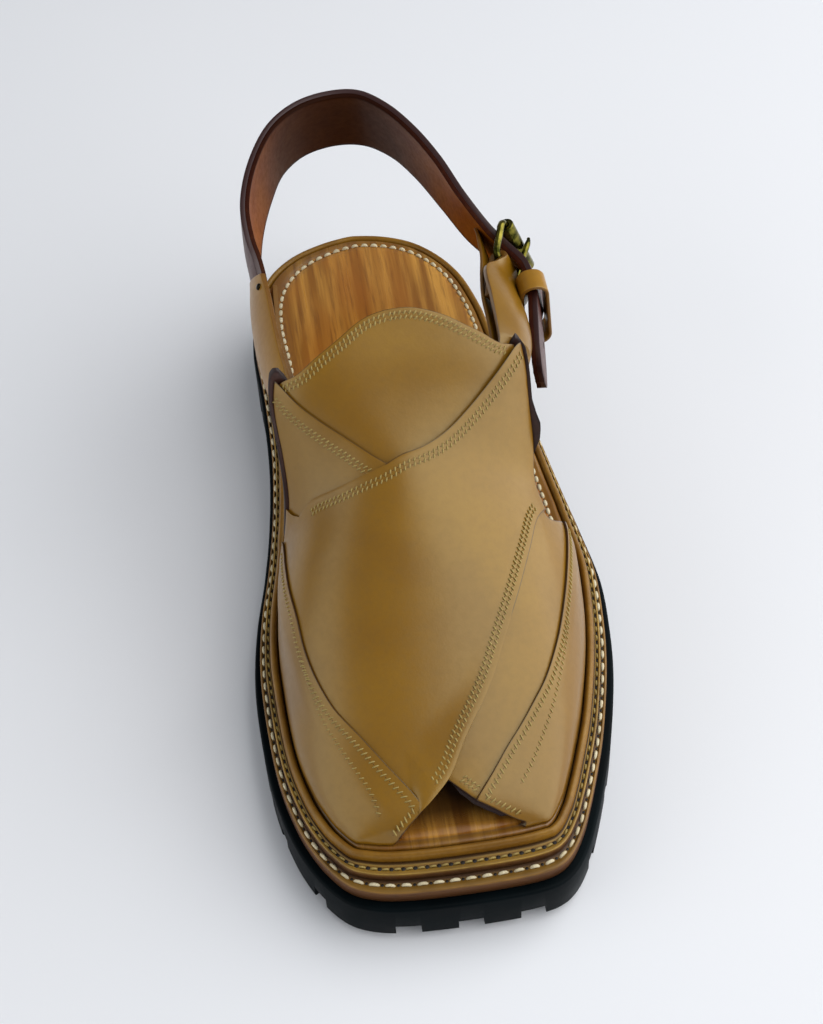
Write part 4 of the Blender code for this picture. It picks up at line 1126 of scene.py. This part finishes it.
def makeBuckle():
    b, brass = buckle, "brass"
    bar, roller = np.array(b["bar"]), np.array(b["roller"])
    middle, run = 0.5 * (bar + roller), np.linalg.norm(roller - bar)
    heading, upward = (roller - bar) / run, byBuckle((0, 0, 0), 1)
    loop = roundedLoop(0.5 * run, b["half"], b["corner"])
    path = [middle + heading * along + upward * up for along, up in loop]
    path = evenLoop(path, step=1.2)
    tube("buckleFrameWire", path, [b["wire"]] * len(path), brass, ("buckle_frame",), True)

    profile = []
    for k in range(5):
        turn, corner = 0.5 * pi * k / 4, b["rollerCorner"]
        profile.append((b["rollerRadius"] - corner * (1 - math.sin(turn)),
                        -b["rollerHalf"] + corner * (1 - math.cos(turn))))
    profile += [(radius, -up) for radius, up in profile[::-1]]
    profile += [(b["rollerBore"], b["rollerHalf"] - 0.1), (b["rollerBore"], 0.1 - b["rollerHalf"])]
    sides, verts = 40, []
    for k in range(sides):
        angle = 2 * pi * k / sides
        for radius, up in profile:
            verts.append(byBuckle(b["roller"], up, radius * math.sin(angle), radius * math.cos(angle)))
    newPiece("buckleRollerTube", verts, lattice(sides, len(profile), True, True), brass,
             ("buckle_roller",), 50)

    turnRadius = b["wire"] + b["prongGap"] + b["prong"]
    path = []
    for degrees in range(-80, -261, -12):
        angle = math.radians(degrees)
        path.append(byBuckle(b["bar"], 0, turnRadius * math.sin(angle), turnRadius * math.cos(angle)))
    rest = b["rollerRadius"] + b["prong"] + b["prongRest"]
    path.append(byBuckle(b["roller"], 0, rest, 0))
    path.append(byBuckle(b["roller"], 0, rest + 0.2, b["prongTip"]))
    dense = evenly(spline(path, 160), step=0.6)
    radii = [b["prong"] * float(np.clip((len(dense) - k) / 5, 0.35, 1)) ** 0.5 for k in range(len(dense))]
    tube("buckleProngWire", dense, radii, brass, ("buckle_prong",))


def makeKeeper():
    b = buckle
    x, y, z = b["keeper"]
    cosine, sine = math.cos(b["keeperTilt"]), math.sin(b["keeperTilt"])
    across = np.linspace(-0.5, 0.5, 11)
    grids = []
    for out in (b["keeperThick"], 0):
        halfA, halfB = (half + out for half in b["keeperInside"])
        loop = evenLoop(roundedLoop(halfA, halfB, b["keeperCorner"] + out), 90)
        spun = [(x + a * cosine - c * sine, z + a * sine + c * cosine) for a, c in loop]
        grids.append(np.array([[(a, y + side * b["keeperWidth"], c) for side in across] for a, c in spun]))
    outer, inner = grids
    verts = np.concatenate([outer, inner[:, ::-1]], axis=1)
    rim = np.tile(b["keeperWidth"] * (0.5 - np.abs(across)), 2 * len(outer))
    keeper = newPiece("keeperLoopLeather", verts.reshape(-1, 3), lattice(*verts.shape[:2], True, True),
                      "paintedLightTab", ("keeper_loop",), marks={"rim": rim})
    roundEdges(keeper, 0.3)


makeStraps()
makeBuckle()
makeKeeper()
print("straps and buckle made")

# Stitches: each one is a short bent rod whose ends dip into the leather.
stitchForm = {
    "sides": 6,
    "sections": (  # shares of the length, the radius and the height
        (-0.5, 0.45, -0.75), (-0.32, 0.9, 0.05), (0, 1, 0.35), (0.32, 0.9, 0.05), (0.5, 0.45, -0.75)),
}
stitchRows = {  # mm between stitches, length, radius, slant in degrees, radius of the needle hole
    "midsole": (4.9, 3.3, 0.6, 0, 0.6), "welt": (3.6, 2.3, 0.42, 8, 0.8),
    "footbed": (3.7, 2.7, 0.66, 0, 0.45), "upper": (1.7, 1.65, 0.27, 58, 0.18),
    "wing": (1.75, 2.2, 0.27, 64, 0.18), "faint": (1.9, 1.7, 0.21, 64, 0.16),
}
seams = {
    "midsole": (0.65, 0.3), "welt": (0.54, 0.75),  # share towards the next layer, depth below the top
    "footbed": 0.25, "toeEnd": -118, "toeMiddle": (-4, 20),  # the footbed's row stops at the toe opening
    "besideEdge": (2.3, 3.9), "archSpan": (47.5, 130),
}


def addStitches(store, points, outwards, kind, keep=None):
    # a rod at every point but the last, along the line, leaning over by the row's slant
    run = unit(np.gradient(points, axis=0))
    sides = stitchForm["sides"]
    _, usual, thickness, slant, _ = stitchRows[kind]
    for point, ahead, out in zip(points[:-1], run[:-1], outwards[:-1]):
        if keep and not keep(point):
            continue
        out = unit(out)
        ahead = unit(ahead - out * np.dot(ahead, out))
        turn = math.radians(slant + draw.uniform(-4, 4))
        axis = ahead * math.cos(turn) + np.cross(out, ahead) * math.sin(turn)
        side = np.cross(out, axis)
        length, radius = usual * draw.uniform(0.94, 1.05), thickness * draw.uniform(0.94, 1.05)
        first = len(store["verts"])
        for along, thick, up in stitchForm["sections"]:
            middle = point + axis * along * length + out * up * radius
            store["verts"] += circle(middle, side, out, radius * thick, sides)
        store["faces"] += rodFaces(len(stitchForm["sections"]), sides, first)


def addHoles(store, points, outwards, radius):
    # flat dark discs, just proud of the leather, that paint the shade in the needle holes
    for point, out in zip(points, outwards):
        out = unit(out)
        side = unit(np.cross(out, (0.31, 0.87, 0.12)))
        sides, other = stitchForm["sides"], np.cross(out, side)
        store["faces"] += rodFaces(2, sides, len(store["verts"]))
        for height, wide in ((-0.06, radius), (0.05, radius * 0.8)):
            store["verts"] += circle(point + out * height, side, other, wide, sides)


def newStore():
    return {"verts": [], "faces": []}


def stitchRing(name, flat, z, kind, finish, holes, keep=None):
    pitch, _, radius, _, hole = stitchRows[kind]
    store = newStore()
    points = evenly(raised(np.vstack([flat, flat[:1]]), z), step=pitch)
    up = np.tile((0, 0, 1), (len(points), 1))
    addStitches(store, points + (0, 0, radius * 0.35), up, kind, keep)
    newPiece(name, store["verts"], store["faces"], finish)
    middles = 0.5 * (points[1:] + points[:-1])
    addHoles(holes, [point for point in middles if keep is None or keep(point)], up, hole)


def upperRow(store, holes, line, offset, depth, trim, kind="upper"):
    # a row beside a line on the upper, shortened by trim in mm at its two ends
    pitch, _, radius, _, hole = stitchRows[kind]
    places = alongUpper(line, step=1)
    places = besideLine(places, offset) if offset else places
    places = places[trim[0]:len(places) - trim[1]]
    dense = evenly(places, step=pitch, measure=upperAt(places))
    depth = depth(dense[:, 0]) if callable(depth) else depth
    points, out = upperAt(dense, depth), upperDirections(dense)[2]
    addStitches(store, points + out * radius * 0.25, out, kind)
    addHoles(holes, 0.5 * (points[1:] + points[:-1]) + out[1:] * 0.02, out[1:], hole)


def makeStitches():
    holes, deepHoles = newStore(), newStore()
    for layer, above, finish in (("midsole", "welt", "whiteThread"), ("welt", "rand", "tanThread")):
        share, depth = seams[layer]
        stitchRing(layer + "Stitch", insetRing(layer, 0, above, share), sole[layer][1] - depth, layer,
                   finish, deepHoles)
    bed = seamShift(insetRing("rand", sole["randWidth"] + sole["bedGap"] + sole["bedSeam"]))
    middle, half = seams["toeMiddle"]
    stitchRing("footbedStitch", bed, sole["footbed"][1] - seams["footbed"], "footbed", "whiteThread", holes,
               lambda point: point[1] > seams["toeEnd"] or abs(point[0] - middle) > half)
    store, p = newStore(), panels
    archLine = archRows(*seams["archSpan"])
    overLine = p["overTop"] + p["overFold"][1:]
    overDepths = flatDepths("over", p["overLift"])
    for offset in seams["besideEdge"]:
        for line, aside, depth, trim in (
                (archLine, offset - 0.6, p["tongue"][0], (2, 2)),
                (p["underTop"], offset + 2.2, p["under"][0], (4, 3)),
                (overLine, -offset - 0.7, p["over"][0], (3, 13)),
                (p["overLow"] + p["openMedial"][1:2], offset,
                 lambda station, share=offset / 90: overDepths(share, station)[0], (5, 0)),
                (p["openLateral"][:3], -offset, p["under"][0], (3, 0))):
            upperRow(store, holes, line, aside, depth, trim)
    for key, aside, side, trim, row in (
            ("medialWing", 2.7, "medial", (3, 1), "wing"), ("lateralWing", -2.2, "lateral", (3, 1), "wing"),
            ("medialSecond", 0, "medial", (0, 2), "faint"),
            ("lateralSecond", 0, "lateral", (0, 2), "faint"),
            ("medialFront", 2, "medial", (3, 0), "wing"), ("lateralFront", -2, "lateral", (3, 0), "wing")):
        line = p[key][:4] if "Front" in key else p[key]
        upperRow(store, holes, line, aside, p[side + "WingEdge"][0], trim, row)
    newPiece("upperStitch", store["verts"], store["faces"], "tanThread")
    newPiece("needleHoleShadeDiscs", holes["verts"], holes["faces"], "hole")
    newPiece("awlHoleShadeDiscs", deepHoles["verts"], deepHoles["faces"], "deepHole")
    pointsEach = stitchForm["sides"] * len(stitchForm["sections"])
    print("stitches:", len(store["verts"]) // pointsEach, "on the upper")


makeStitches()

# Floor, light and camera.
studio = {
    "floor": "#E9EAED", "floorPatch": "#E4E7EB", "floorSize": 12000, "sky": "#E4E9F0", "skyStrength": 0.30,
    "lights": (  # name, place, aim, size, watts
        ("keyLight", (800, -160, 700), (0, -30, 50), 1900, 25),
        ("fillLight", (-980, -240, 330), (0, -30, 50), 1200, 5.5)),
    "camera": (-44.2, -429.7, 557.9), "aim": (-1, -8, 45), "roll": -3.4, "lens": 70,
}


def makeStudio():
    half = studio["floorSize"] / 2 * mm
    mesh = bpy.data.meshes.new("floor")
    corners = [(-half, -half, 0), (half, -half, 0), (half, half, 0), (-half, half, 0)]
    mesh.from_pydata(corners, [], [(0, 1, 2, 3)])
    floor = newObject("floor", mesh)
    material, tree, shader, place = startMaterial("mattPaperSweep")
    tone = noise(tree, place, 300, 2)
    colour = tint(tree, tone, (0.3, 0.7, 0, 0.35), studio["floor"], studio["floorPatch"])
    wireUp(tree, shader, colour, 0.75, (), {"Specular IOR Level": 0.1})
    mesh.materials.append(material)

    world = bpy.data.worlds.new("studio")
    bpy.context.scene.world = world
    world.use_nodes = True
    world.node_tree.nodes["Background"].inputs[0].default_value = linear(studio["sky"])
    world.node_tree.nodes["Background"].inputs[1].default_value = studio["skyStrength"]
    for name, place, aim, size, watts in studio["lights"]:
        light = bpy.data.lights.new(name, "AREA")
        light.shape = "SQUARE"
        light.size = size * mm
        light.energy = watts
        lamp = newObject(name, light)
        lamp.location = Vector(place) * mm
        lamp.rotation_euler = (Vector(aim) - Vector(place)).to_track_quat("-Z", "Y").to_euler()

    camera = newObject("camera", bpy.data.cameras.new("camera"))
    camera.data.lens = studio["lens"]
    camera.data.clip_start, camera.data.clip_end = 0.01, 20
    camera.location = Vector(studio["camera"]) * mm
    look = (Vector(studio["aim"]) - Vector(studio["camera"])).to_track_quat("-Z", "Y")
    roll = Matrix.Rotation(math.radians(studio["roll"]), 3, "Z").to_quaternion()
    camera.rotation_euler = (look @ roll).to_euler()
    bpy.context.scene.camera = camera
    bpy.context.scene.view_settings.view_transform = "Standard"


makeStudio()
print("studio made")
